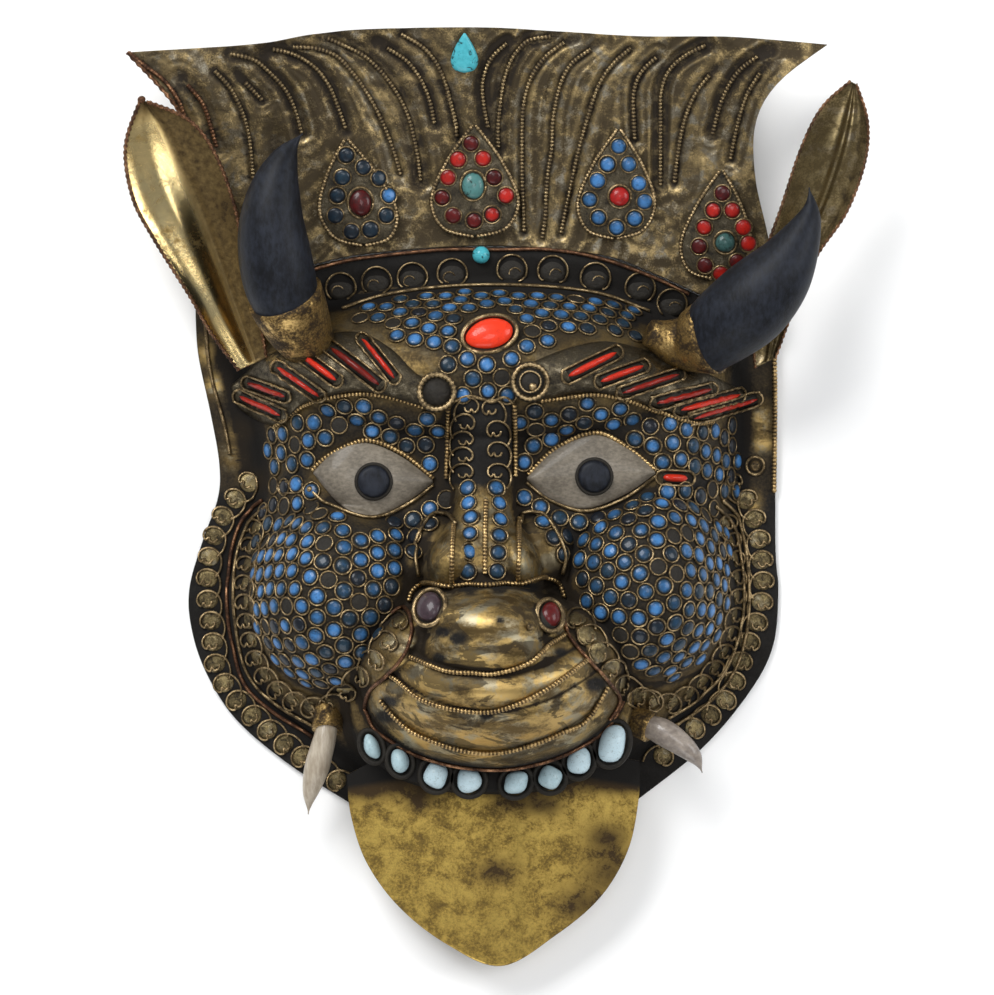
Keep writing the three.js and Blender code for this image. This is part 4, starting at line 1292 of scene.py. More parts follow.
SMOOTH_PIXELS = {
    "lip": [(366, 707), (375, 729), (408, 749), (453, 763), (501, 767), (542, 760), (575, 747), (609, 725),
            (622, 700)],
    "muzzle_side_left": [(391, 612), (401, 606), (411, 613), (413, 628), (409, 645), (399, 661), (384, 676),
                         (371, 690), (366, 707)],
    "muzzle_side_right": [(561, 612), (566, 632), (579, 650), (601, 674), (618, 697), (608, 718)],
    "cheek_rim_left": [(262, 500), (240, 520), (228, 560), (228, 620), (240, 680), (270, 712), (312, 737)],
    "cheek_rim_left_inner": [(268, 506), (247, 525), (235, 563), (235, 618), (247, 674), (276, 704),
                             (318, 728)],
    "cheek_rim_right": [(722, 500), (740, 520), (749, 560), (750, 620), (738, 668), (712, 702), (674, 728)],
    "cheek_rim_right_inner": [(715, 506), (733, 525), (742, 563), (743, 618), (731, 664), (706, 694),
                              (668, 718)],
    "band_top": [(312, 268), (346, 259), (381, 254), (444, 248), (500, 248), (551, 248), (602, 257),
                 (653, 275), (690, 292)],
    "band_foot": [(342, 309), (381, 296), (432, 288), (487, 285), (551, 287), (602, 294), (650, 310)],
    "wing_left": [(456, 526), (453, 516), (441, 513), (430, 519), (420, 536), (415, 555), (418, 574)],
    "wing_right": [(518, 524), (521, 514), (533, 511), (545, 518), (556, 535), (563, 555), (560, 572)],
    "bridge_arch": [(448, 410), (455, 401), (468, 396), (482, 399), (492, 402), (505, 397), (513, 404)],
    "strip_left": [(203, 310), (205, 344), (210, 378), (222, 422), (228, 453)],
    "under_lid_left": [(312, 490), (330, 505), (372, 518), (410, 503), (434, 484)],
    "under_lid_right": [(526, 482), (550, 500), (586, 511), (625, 498), (656, 475)],
}

face_beads, face_smooth, face_copper = Shape(), Shape(), Shape()
for route in BEADED_PIXELS.values():
    beaded_wire(face_beads, face_relief, places(*route), 1.1, 1.0)
COPPER_NAMES = ("lip", "muzzle_side_left", "muzzle_side_right", "cheek_rim_left", "band_top")
for name, route in SMOOTH_PIXELS.items():
    lift = 1.5 if name.startswith("wing") else 0.75
    plain_wire(face_copper if name in COPPER_NAMES else face_smooth, face_relief, places(*route), 0.8, lift)
piece("face_beaded_wires", face_beads, bead_brass, "patinated_brass")
piece("face_smooth_wires", face_smooth, wire_brass, "patinated_brass")
piece("face_copper_wires", face_copper, copper, "copper_wire")

# %% [markdown]
# Scrolls. Each is a short wire curled to a spiral with its tail led on to the next. They stand in
# rows on the beard flange, under the cheeks, on the dark band and on the bridge of the nose. A smith
# bends them all over one pin, so here one hook is drawn at size 1 and turned and scaled along a row.
# The dark band has plain circles in place of hooks.

# %% One scroll and a row of them
HOOK = [(0.30, 0.05), (0.12, -0.30), (-0.28, -0.34), (-0.42, 0.02), (-0.70, -0.32), (-1.0, 0.05),
        (-0.92, 0.60), (-0.40, 1.0), (0.30, 0.98), (0.88, 0.55), (1.12, -0.15), (1.05, -0.90), (0.72, -1.50)]
HOOK_POINTS = 34
SCROLL_ROWS = {
    "flange_left": {"route": [(338, 783), (287, 748), (257, 722), (232, 697), (215, 668), (211, 632),
                              (206, 592), (209, 550), (222, 515), (246, 484)],
                    "spacing": 8.2, "size": 4.5, "hand": -1},
    "flange_right": {"route": [(662, 758), (700, 725), (727, 700), (745, 655), (757, 625), (764, 592),
                               (761, 543), (751, 505), (735, 486)], "spacing": 8.2, "size": 4.5, "hand": 1},
    "cheek_left": {"route": [(330, 704), (306, 706), (280, 692), (260, 668), (249, 630), (245, 580),
                             (254, 530)],
                   "spacing": 7.0, "size": 3.9, "hand": -1},
    "cheek_right": {"route": [(652, 700), (676, 702), (704, 682), (726, 650), (737, 605), (737, 560),
                              (728, 525)],
                    "spacing": 7.0, "size": 3.9, "hand": 1},
    "mouth_left": {"route": [(344, 692), (360, 675), (375, 659), (387, 642), (397, 622)],
                   "spacing": 7.8, "size": 4.4, "hand": 1},
    "mouth_right": {"route": [(640, 698), (622, 682), (606, 662), (592, 641), (577, 620)],
                    "spacing": 7.8, "size": 4.6, "hand": -1},
    "bridge_left": {"route": [(463, 474), (463, 450), (464, 426), (468, 408)], "spacing": 6.6, "size": 4.0,
                    "hand": 1},
    "bridge_right": {"route": [(498, 474), (498, 450), (497, 426), (493, 410)], "spacing": 6.6, "size": 4.0,
                     "hand": -1},
}


def scroll(shape, relief, at, heading, size, hand):
    """One curled wire; heading points along its row, back to the scroll before."""
    hook = spline(HOOK, HOOK_POINTS)
    across = np.array([-math.sin(heading), math.cos(heading)]) * hand
    along = np.array([math.cos(heading), math.sin(heading)])
    flat = np.array(at) + size * (hook[:, :1] * across + hook[:, 1:] * along)
    path = relief.lay(flat, 0.8)
    return tube(shape, path, 0.5, 5, relief.up(path), tint=0.65)


def scroll_row(shape, relief, row):
    """Scrolls side by side along a route; returns their places."""
    path = smooth_path(places(*row["route"]), row["spacing"])
    for at, run in zip(path, np.gradient(path, axis=0)):
        scroll(shape, relief, at, math.atan2(run[1], run[0]), row["size"], row["hand"])
    return path


scroll_wires = Shape()
scroll_places = {name: scroll_row(scroll_wires, face_relief, row) for name, row in SCROLL_ROWS.items()}
piece("scroll_wires", scroll_wires, wire_brass, "patinated_brass")

# %% Circles of the dark band
BAND_CIRCLES = places((340, 286), (376, 280), (412, 276), (452, 272), (512, 268), (553, 269), (596, 276),
                      (641, 286), (673, 302))
BAND_BED = (5.7, 5.7, 0.9)


def arc(at, radius, start, end, count=18):
    """Points of a round arc, its angles in radians."""
    turn = np.linspace(start, end, count)
    return np.stack([at[0] + radius * np.cos(turn), at[1] + radius * np.sin(turn)], axis=1)


band_wires, band_beds = Shape(), Shape()
for at in np.array(BAND_CIRCLES):
    hand = -1 if at[0] < 0 else 1
    plain_wire(band_wires, face_relief, arc(at, 6.0, -1.1, 4.0, 30), radius=0.45, lift=0.7)
    plain_wire(band_wires, face_relief, arc(at + [1.2 * hand, -1.6], 2.4, 0.4, 4.6), radius=0.32, lift=0.5)
    pebble(band_beds, face_relief.lay(at[None], -0.3)[0], BAND_BED, around=24, down=6)
piece("band_beds", band_beds, pitch, "dark_pitch")
piece("band_circles", band_wires, wire_brass, "patinated_brass")

# %% [markdown]
# Stones in cells. A cell is a ring of thin strip soldered to the sheet, filled with black pitch, with
# a small polished stone pressed into it. One ring, one bed and one stone are made at size 1 and then
# stamped wherever a cell belongs, each square to the metal. A copy by a modifier would be lighter,
# but only real mesh is carried over with the part.

# %% Ring, bed and stone of a cell
CELL_RING = tube(Shape(), level_ring((0, 0), (1, 1), 0, count=17), 0.115, 5, closed=True)
CELL_BED = turned(Shape(), (0, 0, 0), [(1.0, -0.25), (1.0, -0.02), (0.9, 0.02), (0.05, 0.0)], 14)
CELL_STONE = turned(Shape(), (0, 0, 0), [(1.0, -0.1), (1.0, 0.16), (0.9, 0.27), (0.6, 0.36), (0.06, 0.4)], 14)


def directions(relief, spots):
    """Three directions at each spot: two along the surface and one square to it."""
    up = relief.up(np.asarray(spots, float))
    side = np.cross([0.0, 1.0, 0.0], up)
    side /= np.linalg.norm(side, axis=1, keepdims=True)
    return np.stack([side, np.cross(up, side), up], axis=1)


def stamp(shape, form, centres, axes, sizes, tints, edge=0.0):
    """Copies a small form to many places; edge is the share of its tint that its border loses, as painted
    shade.
    """
    points = np.concatenate(form.points)
    # Painted shade: the tint drops towards the form's border, for the shadow inside a cell's rim.
    rim_shade = 1 - edge * np.linalg.norm(points[:, :2], axis=1) ** 3
    sizes = np.asarray(sizes, float).reshape(-1, 1, 1) * np.ones((len(centres), 1, 1))
    placed = np.einsum("nmk,nkj->nmj", points[None] * sizes, axes) + np.asarray(centres)[:, None, :]
    offsets = np.arange(len(centres))[:, None, None] * len(points)
    faces = [(np.array(group)[None] + offsets).reshape(-1, len(group[0])) for group in form.faces]
    tint = (np.broadcast_to(tints, len(centres))[:, None] * rim_shade).ravel()
    return shape.add(placed.reshape(-1, 3), faces, tint)


def inside(spots, corners):
    """Which spots lie inside a polygon."""
    x, y = spots[:, 0], spots[:, 1]
    within = np.zeros(len(spots), bool)
    for (x0, y0), (x1, y1) in zip(corners, corners[1:] + corners[:1]):
        within ^= ((y0 > y) != (y1 > y)) & (x < (x1 - x0) * (y - y0) / (y1 - y0 + 1e-12) + x0)
    return within


def packed(relief, corners, pitch, start, keep_off, taken, step=0.55):
    """Places for cells, as close as their rings allow, growing out from one place."""
    low, high = np.min(corners, axis=0), np.max(corners, axis=0)
    x, y = np.meshgrid(np.arange(low[0], high[0], step), np.arange(low[1], high[1], step))
    spots = np.stack([x.ravel(), y.ravel()], axis=1)
    spots = spots[inside(spots, corners)]
    for line, gap in keep_off:
        spots = spots[distance_to(spots[:, 0], spots[:, 1], line) > gap]
    laid = relief.lay(spots)
    order = np.linalg.norm(laid - relief.lay(np.array([start])), axis=1)
    free = np.ones(len(spots), bool)
    for other in taken:
        free &= np.linalg.norm(laid - other, axis=1) >= pitch
    chosen = []
    while free.any():
        best = np.argmin(np.where(free, order, np.inf))
        chosen.append(best)
        free &= np.linalg.norm(laid - laid[best], axis=1) >= pitch
    return spots[chosen]


print("points of one ring, bed and stone:", CELL_RING.count, CELL_BED.count, CELL_STONE.count)

# %% Dishes inside the scrolls
SCROLL_DISH = turned(Shape(), (0, 0, 0), [(1.0, -0.2), (1.0, 0.0), (0.9, 0.06), (0.5, 0.09), (0.05, 0.1)], 16)
PLAIN_TINTS = (0.2, 0.95)
DISH_TINTS = {"mouth_left": (0.7, 1.2)}
DISH_SHARE = 0.9
DISH_SHIFT = 0.3

scroll_dishes = Shape()
dish_draw = random.Random(7)
for name, spots in scroll_places.items():
    if name.startswith("bridge"):
        continue
    tints = np.array([dish_draw.uniform(*DISH_TINTS.get(name, PLAIN_TINTS)) for _ in spots])
    size = SCROLL_ROWS[name]["size"] * DISH_SHARE
    along = np.gradient(spots, axis=0)
    spots = spots + DISH_SHIFT * size * along / np.linalg.norm(along, axis=1, keepdims=True)
    stamp(scroll_dishes, SCROLL_DISH, face_relief.lay(spots), directions(face_relief, spots), size, tints)
piece("scroll_dishes", scroll_dishes, dish_brass, "patinated_brass")

# %% Where the cells lie
PITCH = 7.5
EYE_LINES = {
    side: np.concatenate([spline(eye["lower"], 40), spline(eye["upper"], 40)[::-1]])
    for side, eye in EYES.items()
}
BROW_LINES = [spline(brow[edge], 60) for edge in ("lower", "upper") for brow in BROWS.values()]
BROW_GAP = 4.0
CORAL_AT = (-2.6, 65)
CORAL_EDGE, CORAL_GAP = oval(CORAL_AT, (11, 6.6), 0, 30), 5.2
CORAL_ROOM = (13, 9)
CURL_RINGS = {"left": (437, 392), "right": (530, 382)}
CURL_GAP = 10

CELL_REGIONS = {
    "cheek_left": {
        "corners": [(272, 480), (304, 476), (318, 492), (345, 510), (372, 519), (410, 506), (436, 486),
                    (449, 496), (425, 535), (405, 565), (392, 605), (376, 640), (352, 670), (326, 686),
                    (300, 684), (276, 664), (253, 620), (250, 570), (258, 525)],
        "start": (345, 590), "eye": "left", "eye_gap": 4.5, "bright": 0.72,
    },
    "cheek_right": {
        "corners": [(521, 496), (550, 502), (586, 512), (630, 500), (664, 488), (716, 488), (728, 530),
                    (730, 580), (722, 634), (700, 664), (668, 680), (644, 676), (618, 652), (596, 620),
                    (578, 590), (566, 560), (545, 530)],
        "start": (645, 590), "eye": "right", "eye_gap": 4.5, "bright": 0.70,
    },
    "forehead": {
        "corners": [(352, 312), (381, 302), (432, 293), (487, 290), (551, 292), (602, 299), (640, 312),
                    (640, 338), (600, 338), (552, 344), (522, 360), (508, 378), (508, 396), (460, 398),
                    (456, 378), (440, 362), (410, 345), (380, 330), (352, 332)],
        "start": (487, 305), "bright": 0.62,
    },
    "lid_left": {
        "corners": [(268, 432), (307, 410), (334, 402), (364, 398), (400, 403), (440, 420), (443, 470),
                    (400, 450), (366, 437), (330, 452), (306, 478), (280, 484), (268, 460)],
        "start": (340, 425), "eye": "left", "eye_gap": 4.4, "bright": 0.6,
    },
    "lid_right": {
        "corners": [(518, 405), (557, 402), (592, 399), (622, 403), (653, 413), (691, 427), (735, 424),
                    (742, 470), (742, 492), (668, 490), (640, 455), (596, 431), (556, 446), (520, 478)],
        "start": (600, 414), "eye": "right", "eye_gap": 4.4, "bright": 0.68,
    },
}
NOSE_CELLS = places((468, 488), (469, 503), (471, 517), (470, 533), (469, 551), (468, 570),
                    (496, 488), (499, 503), (500, 519), (499, 535), (498, 552), (497, 570))
NOSE_BRIGHT = 0.75

cell_places = {"nose": np.array(NOSE_CELLS)}
for name, region in CELL_REGIONS.items():
    keep_off = [(EYE_LINES[region["eye"]], region["eye_gap"])] if "eye" in region else []
    keep_off += [(line, BROW_GAP) for line in BROW_LINES]
    if name == "forehead":
        keep_off.append((CORAL_EDGE, CORAL_GAP))
        keep_off += [(np.array(places(at, at)), CURL_GAP) for at in CURL_RINGS.values()]
    taken = [spot for spots in cell_places.values() for spot in face_relief.lay(spots)]
    start, = places(region["start"])
    spots = packed(face_relief, places(*region["corners"]), PITCH, start, keep_off, taken)
    if name == "forehead":
        spots = spots[(((spots - CORAL_AT) / CORAL_ROOM) ** 2).sum(1) > 1]
    cell_places[name] = spots
print({name: len(spots) for name, spots in cell_places.items()})

# %% Setting the face cells
DULL_PLACES = places((366, 618), (352, 652), (380, 590), (282, 500), (300, 490), (592, 600), (612, 634),
                     (560, 560), (648, 505), (700, 505), (725, 440), (650, 690), (370, 322), (615, 322),
                     (395, 520), (410, 545))
DULL_REACH = 8
DULL_LOSS = 0.85
DULL_SHARE = 0.85
EMPTY = 0.05
CELL_RADIUS = 3.55
STONE_RADIUS = 2.85
RING_LIFT = 0.45
BED_LIFT = 0.7 * RING_LIFT
# Painted shade inside each cell's rim: the share of a stone's tint lost at its border.
STONE_RIM_SHADE = 0.6
draw = random.Random(41)


def stone_tint(bright_share, at):
    """0 is an empty cell, up to 0.6 a dull stone and above it a bright one."""
    away = min(math.dist(at, place) for place in DULL_PLACES)
    bright_share *= 1 - DULL_LOSS * math.exp(-((away / DULL_REACH) ** 2))
    if draw.random() < bright_share:
        return draw.uniform(0.66, 1.0)
    return draw.uniform(EMPTY, 0.6) if draw.random() < DULL_SHARE else 0.0


def set_cells(name, relief, spots, stone_radius, tints, material, slot):
    """Rings, beds and stones at the given spots."""
    spots, tints = np.asarray(spots, float), np.array(tints)
    axes = directions(relief, spots)
    sizes = np.array([CELL_RADIUS * draw.uniform(0.94, 1.03) for _ in spots])
    rings = stamp(Shape(), CELL_RING, relief.lay(spots, RING_LIFT), axes, sizes, 0.5)
    beds = stamp(Shape(), CELL_BED, relief.lay(spots, BED_LIFT), axes, sizes, 0.5)
    full = tints > EMPTY
    sizes = np.array([stone_radius * draw.uniform(0.9, 1.05) for _ in spots])
    laid = relief.lay(spots, BED_LIFT)[full]
    stones = stamp(Shape(), CELL_STONE, laid, axes[full], sizes[full], tints[full], STONE_RIM_SHADE)
    piece(f"{name}_rings", rings, wire_brass, "patinated_brass")
    piece(f"{name}_beds", beds, pitch, "dark_pitch")
    piece(f"{name}_stones", stones, material, slot)


for name, spots in cell_places.items():
    bright_share = CELL_REGIONS[name]["bright"] if name in CELL_REGIONS else NOSE_BRIGHT
    tints = [stone_tint(bright_share, spot) for spot in spots]
    set_cells(name, face_relief, spots, STONE_RADIUS, tints, blue_stone, "blue_stone")

# %% [markdown]
# The four plaques on the crown. Each has a ring of cells round one larger stone, and a beaded wire
# round its edge. Two have blue stones and two have red. The cells could be spread round the middle by
# a rule, but on the real plaques they stand unevenly, so each has its own place.

# %% Plaque stones
PLAQUE_CELLS = [
    {"finish": blue_stone, "slot": "blue_stone", "middle": (360, 201), "middle_half": (4.4, 5.4, 2.0),
     "middle_finish": dark_red, "middle_slot": "dark_red_stone", "tone": 0.2,
     "cells": [(346, 154), (363, 166), (342, 176), (378, 177), (337, 194), (388, 194), (335, 214), (386, 214),
               (351, 230), (370, 228)], "bright": {5}},
    {"finish": red_stone, "slot": "dark_red_stone", "middle": (473, 184), "middle_half": (4.4, 5.4, 2.0),
     "middle_finish": dull_turquoise, "middle_slot": "turquoise", "tone": 0.8,
     "cells": [(471, 142), (458, 158), (483, 157), (448, 176), (494, 176), (442, 196), (506, 194), (453, 214),
               (474, 219), (492, 213)], "bright": {1, 2, 3, 6, 9}},
    {"finish": blue_stone, "slot": "blue_stone", "middle": (620, 195), "middle_half": (3.9, 3.9, 2.0),
     "middle_finish": dark_red, "middle_slot": "dark_red_stone", "tone": 0.8,
     "cells": [(619, 145), (608, 163), (629, 163), (598, 179), (639, 182), (590, 198), (645, 200), (599, 216),
               (635, 217), (617, 226)], "bright": set(range(10))},
    {"finish": red_stone, "slot": "dark_red_stone", "middle": (726, 241), "middle_half": (3.9, 3.9, 2.0),
     "middle_finish": dull_turquoise, "middle_slot": "turquoise", "tone": 0.5,
     "cells": [(723, 192), (714, 209), (733, 209), (705, 226), (744, 226), (700, 245), (749, 242), (706, 264),
               (738, 260), (722, 272)], "bright": {1, 2, 3, 4, 6, 9}},
]
PLAQUE_STONE_RADIUS = 3.1
BRIGHT_TINTS, DULL_TINTS = (0.75, 1), (0.1, 0.3)
MIDDLE_RIM = 0.7
EDGE_INSET = 1

plaque_wires = Shape()
for index, (plan, form, relief) in enumerate(zip(PLAQUE_CELLS, PLAQUES, plaque_reliefs), 1):
    spots = places(*plan["cells"])
    ranges = [BRIGHT_TINTS if cell in plan["bright"] else DULL_TINTS for cell in range(len(spots))]
    tints = [draw.uniform(low, high) for low, high in ranges]
    set_cells(f"plaque_{index}", relief, spots, PLAQUE_STONE_RADIUS, tints, plan["finish"], plan["slot"])
    middle = np.array(places(plan["middle"]))
    half = plan["middle_half"]
    stone = pebble(Shape(), relief.lay(middle, 0.5)[0], half, 0.1, 20, 10, tint=plan["tone"], roughness=0.02)
    piece(f"plaque_{index}_middle", stone, plan["middle_finish"], plan["middle_slot"])
    rim = oval(middle[0], (half[0] + MIDDLE_RIM, half[1] + MIDDLE_RIM), 0, 28)
    plain_wire(plaque_wires, relief, rim, radius=0.55, lift=0.5)
    for sign in (-1, 1):
        beaded_wire(plaque_wires, relief, drop_edge(form, sign, EDGE_INSET), radius=0.85, lift=0.4)
piece("plaque_wires", plaque_wires, wire_brass, "patinated_brass")

# %% [markdown]
# The brows carry strips of coral, each in its own loop of wire, and end in a curl beside the nose. A
# strip could be cut from a block with its corners rounded by a bevel. It is a tube with a squarish
# section that tapers at both ends instead, because a tube also follows the swelling of the brow.

# %% Coral strips
CORAL_STRIPS = {
    "left": [((239, 395), (281, 414)), ((248, 382), (286, 396)), ((279, 367), (320, 395)),
             ((298, 353), (337, 380)), ((332, 349), (380, 384)), ((363, 340), (395, 378))],
    "right": [((568, 376), (615, 354)), ((600, 381), (642, 367)), ((622, 392), (678, 375)),
              ((656, 402), (710, 389)), ((680, 409), (740, 394)), ((693, 417), (758, 398))],
}
EYE_CORNER_STRIP = ((663, 477), (686, 478))
EYE_CORNER_LOOP = ((283, 487), (298, 487))
STRIP_RINGS = 16
STRIP_SIDES = 8


def oblong(start, end, half_width, count=8):
    """The outline of a strip with round ends."""
    start, end = np.array(start), np.array(end)
    run = (end - start) / np.linalg.norm(end - start)
    side = np.array([-run[1], run[0]])
    turn = np.linspace(-math.pi / 2, math.pi / 2, count)[:, None]
    far = end + half_width * (np.cos(turn) * run + np.sin(turn) * side)
    near = start - half_width * (np.cos(turn) * run + np.sin(turn) * side)
    return np.concatenate([far, near, far[:1]])


def coral_strip(relief, start, end, half_width):
    """A strip of coral, its bed of pitch and the loop of wire round it."""
    line = even([start, end], STRIP_RINGS)
    path = relief.lay(line, 0.8)
    turn = full_turn(STRIP_SIDES)
    taper = np.sqrt(np.maximum(1 - np.abs(np.linspace(-1, 1, STRIP_RINGS)) ** 4, 0.02))
    radii = taper[:, None] * half_width * (0.86 + 0.12 * np.cos(4 * turn))
    tube(strip_stones, path, radii, STRIP_SIDES, relief.up(path), tint=draw.uniform(0.2, 1))
    wide, high = half_width + 1.3, 0.7
    section = wide * high / np.hypot(high * np.cos(turn), wide * np.sin(turn))
    tube(strip_beds, relief.lay(line, 0.1), np.tile(section, (STRIP_RINGS, 1)), STRIP_SIDES, relief.up(path))
    plain_wire(strip_wires, relief, oblong(start, end, half_width + 1.5), radius=0.55, lift=0.8, spacing=1.0)


strip_stones, strip_beds, strip_wires = Shape(), Shape(), Shape()
for side, strips in CORAL_STRIPS.items():
    for start, end in strips:
        coral_strip(brow_reliefs[side], *places(start, end), draw.uniform(1.0, 1.35))
coral_strip(face_relief, *places(*EYE_CORNER_STRIP), 1.5)
plain_wire(strip_wires, face_relief, oblong(*places(*EYE_CORNER_LOOP), 2.2), radius=0.45, lift=0.5)

# %% Brow curls, and black rings of painted shadow round the pupils
CURL_RISE = 6.5
CURL_BASE = [(8.2, -7), (8.0, -1), (7.2, 0), (0.3, 0)]
CURL_BED = [(5.6, -1), (5.6, 0.2), (0.3, 0.25)]
CURL_BALL = [(1.6, -0.5), (1.5, 0.9), (0.2, 1.3)]
CURL_WIRES = {"left": ((6.9, 1.3),), "right": ((6.9, 1.1), (4.2, 0.5))}
CURL_POINTS = 48

curl_bases, curl_beds, curl_rings = Shape(), Shape(), Shape()
for side, at in CURL_RINGS.items():
    (x, y), = places(at)
    level = float(face_height(x, y)) + CURL_RISE
    turned(curl_bases, (x, y, level), CURL_BASE, 28)
    turned(curl_beds, (x, y, level), CURL_BED, 24)
    swell = 0.8 + 0.2 * np.cos(np.arange(CURL_POINTS) * math.pi)
    for radius, wire in CURL_WIRES[side]:
        ring = level_ring((x, y), (radius, radius), level + 0.6, count=CURL_POINTS + 1)
        tube(curl_rings, ring, wire * swell, BEAD_SIDES, closed=True, tint=np.repeat(swell, BEAD_SIDES))
    if side == "right":
        turned(curl_rings, (x + 1, y - 2, level), CURL_BALL, 14, tint=0.9)
piece("brow_curl_beds", curl_beds, pitch, "dark_pitch")
piece("brow_curl_bases", curl_bases, plate_silver, "patinated_brass")
piece("brow_curl_rings", curl_rings, wire_brass, "patinated_brass")

# Painted shadow: a black ring round each pupil stands for the shade in the groove round it.
pupil_shadow_rings = Shape()
for eye in EYES.values():
    around = (PUPIL_RADIUS + 0.5, PUPIL_RADIUS + 0.5)
    tube(pupil_shadow_rings, level_ring(eye["pupil"], around, eye["level"] + 0.1, count=41), 0.8, 8, closed=True)
piece("pupil_shadow_rings", pupil_shadow_rings, pitch, "dark_pitch")
piece("brow_coral_strips", strip_stones, coral_strips, "coral")
piece("brow_strip_beds", strip_beds, pitch, "dark_pitch")
piece("brow_strip_wires", strip_wires, wire_brass, "patinated_brass")

# %% [markdown]
# Settings of the larger stones and the teeth: a rim of wire round each stone on a bed of pitch, and a
# ring of pitch round each tooth. A torus would do for the round ones. The stones are ovals that lean
# with the face, so each rim is a tube along an oval that is laid square to the metal, the way its stone was.

# %% Rims round stones and teeth
RIM_GAP, SEAT_GAP = 1.5, 1.4
SEAT_HALF_HEIGHT, SEAT_LIFT, RIM_LEVEL = 5, -3.4, 3.9
BALLS = [((528, 625), 1.5), ((311, 489), 1.4)]
BOSS = (757, 465)

big_rims, pitch_beds = Shape(), Shape()
for gem in FACE_STONES.values():
    x_half, y_half, _ = gem["half"]
    seat_half = (x_half + SEAT_GAP, y_half + SEAT_GAP, SEAT_HALF_HEIGHT)
    seat = set_pebble(pitch_beds, gem["at"], seat_half, gem["turn"], lift=SEAT_LIFT)
    ring = level_ring((0, 0), (x_half + RIM_GAP, y_half + RIM_GAP), RIM_LEVEL, gem["turn"])
    tube(big_rims, ring @ facing(gem["at"]) + seat.points[-1].mean(axis=0), 1.0, 8, closed=True)
for tooth in TEETH:
    half = (tooth["half"][0] + 1.6, tooth["half"][1] + 1.7)
    tube(pitch_beds, level_ring(tooth["at"], half, tooth["level"] + 0.5, tooth["turn"]), 1.1, closed=True)
for pixel, radius in BALLS:
    pebble(big_rims, face_relief.lay(np.array(places(pixel)), 0.8)[0], (radius, radius, radius), 0, 12, 8)
boss, = places(BOSS)
plain_wire(big_rims, face_relief, oval(boss, (3.6, 3.6)), radius=0.6, lift=0.6)
pebble(big_rims, face_relief.lay(np.array([boss]), 0.6)[0], (2.2, 2.2, 1.4), 0, 16, 8)
piece("stone_rims", big_rims, wire_brass, "patinated_brass")
piece("stone_beds", pitch_beds, pitch, "dark_pitch")

# %% [markdown]
# The patina of the face. Pitch and soot lie round the stones and in every groove, hands have rubbed
# the muzzle and the nose, and the flange went nearly black. It could be painted on an image, but an
# image would have to be drawn by hand again after each change of shape. With every place now known,
# each point of the sheet gets three numbers for the finish to read: how hollow, how gilded and how
# black it is.

# %% Soft masks over the face sheet
STRIP_PATCHES = places((240, 430), (234, 458), (256, 480), (205, 350), (214, 385), (764, 415), (766, 440),
                       (752, 505))
STRIP_REACH = 4.69
MUZZLE_STAINS = [((458, 636), 3.4), ((444, 630), 3), ((500, 618), 1.6), ((540, 606), 3), ((487, 712), 2.6),
                 ((470, 588), 3.4), ((500, 587), 3.4), ((530, 586), 3), ((595, 682), 4), ((390, 700), 3.4),
                 ((385, 715), 3.4), ((440, 655), 2.6), ((560, 650), 2.4)]
SINK_ROUNDS = 60


def zone(*pixels, rounds=6):
    """1 inside a polygon of pixels, 0 outside, with a softened border."""
    spots = inside(face_grid.reshape(-1, 2), places(*pixels))
    return softened(spots.reshape(face_level.shape).astype(float), rounds)


muzzle_zone = zone((412, 592), (430, 584), (545, 580), (562, 600), (572, 640), (606, 680), (606, 718),
                   (575, 744), (500, 765), (410, 748), (372, 720), (372, 695), (404, 650), (414, 620))
wing_zone = zone((424, 545), (440, 520), (452, 520), (451, 578), (424, 578))
wing_zone = wing_zone + zone((520, 518), (538, 520), (556, 545), (556, 574), (520, 574))
nose_zone = zone((456, 500), (516, 500), (516, 578), (456, 578))
bridge_zone = zone((446, 398), (515, 398), (515, 486), (446, 486), rounds=3)
band_zone = zone((312, 268), (381, 254), (500, 248), (602, 257), (704, 296), (653, 312), (551, 290),
                 (432, 291), (342, 309), rounds=4)
cell_zone = sum(zone(*region["corners"], rounds=8) for region in CELL_REGIONS.values())
strip_zone = sum(blot(face_grid, at, STRIP_REACH) for at in STRIP_PATCHES)
side_zone = (1 - smoothstep(inset_grid, 14, 22)) * (1 - strip_zone)
flange_zone = (1 - smoothstep(inset_grid, 11, 17)) * smoothstep(-face_grid[..., 1], -6, 8)
groove_zone = smoothstep(inset_grid, 11, 15) * (1 - smoothstep(inset_grid, 17, 24)) * (1 - muzzle_zone)
ledge_zone = smoothstep(ledge_height(face_grid[..., 0], face_grid[..., 1]), 4, 30) * (1 - muzzle_zone)
ledge_zone = ledge_zone * smoothstep(-face_grid[..., 1], 88, 96)

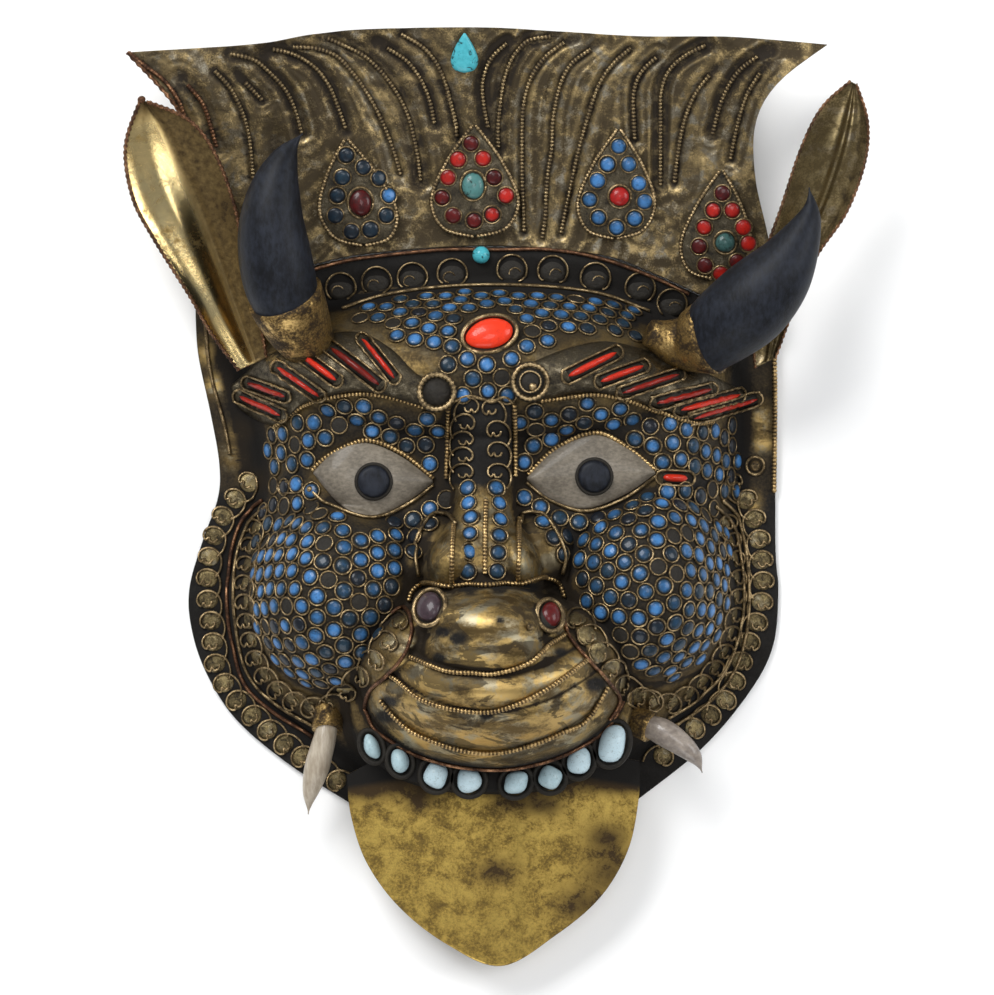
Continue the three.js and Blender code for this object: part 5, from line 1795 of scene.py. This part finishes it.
sunk = softened(face_level, SINK_ROUNDS) - face_level
rubbed = 0.25 * smoothstep(-sunk, 0.1, 1.2)
gild_mark = np.clip(muzzle_zone * 0.9 + wing_zone * 0.8 + strip_zone + nose_zone * 0.4 + rubbed, 0, 1)
hollow_mark = np.clip(smoothstep(sunk, 0.15, 1.0) + 0.35 * groove_zone, 0, 1) * (1 - 0.7 * wing_zone)
soot = cell_zone * 0.85 + ledge_zone + band_zone * 0.55 + bridge_zone
soot = soot + flange_zone * 0.6 + side_zone * 0.75 + groove_zone * 0.5
black_mark = np.clip(soot, 0, 1) * (1 - np.clip(gild_mark - rubbed, 0, 1))
for pixel, reach in MUZZLE_STAINS:
    at, = places(pixel)
    stain = smoothstep(blot(face_grid, at, reach, STAIN_STRETCH), 0.3, 0.8)
    black_mark = np.maximum(black_mark, 0.95 * stain)
print(f"gilded {gild_mark.mean():.2f}, black {black_mark.mean():.2f}, hollow {hollow_mark.mean():.2f}")

# %% The face sheet itself
face_marks = {
    "hollow": with_under(hollow_mark, face_under, 0.4),
    "gild": with_under(gild_mark, face_under),
    "black": with_under(black_mark, face_under, 0.3),
}
piece("face_sheet", face_shape, face_brass, "patinated_brass", "face_shell", marks=face_marks)

# %% [markdown]
# Edges of the ears. A copper rope is soldered round the leaf, as a hem that hides the cut sheet. A
# solidified edge would look like thick sheet. The leaf's grid is still known, and its first and last
# rows are the edges that the rope follows. The crown's left corner has such a rope too.

# %% Ear edges and crown edge
ROPE_SINK = 0.6
EAR_TWIST = 2.4
TIP_HALF = (1.7, 1.5, 1.5)
CORNER_START = 18

ear_ropes = Shape()
for side, ear in EARS.items():
    for edge in (ear_fronts[side][0], ear_fronts[side][-1]):
        rope(ear_ropes, edge - [0, 0, ROPE_SINK], ear["rope"], EAR_TWIST)
pebble(ear_ropes, ear_fronts["left"][-1][-1] + [0.4, 0, -ROPE_SINK], TIP_HALF, 0.4, 14, 8)
piece("ear_ropes", ear_ropes, copper, "copper_wire")

crown_corner = crown_relief.lay(smooth_path(CROWN_LEFT[1:], 2), 0.2)
crown_rope = rope(Shape(), crown_corner[CORNER_START:], 1.0)
piece("crown_corner_rope", crown_rope, copper, "copper_wire")
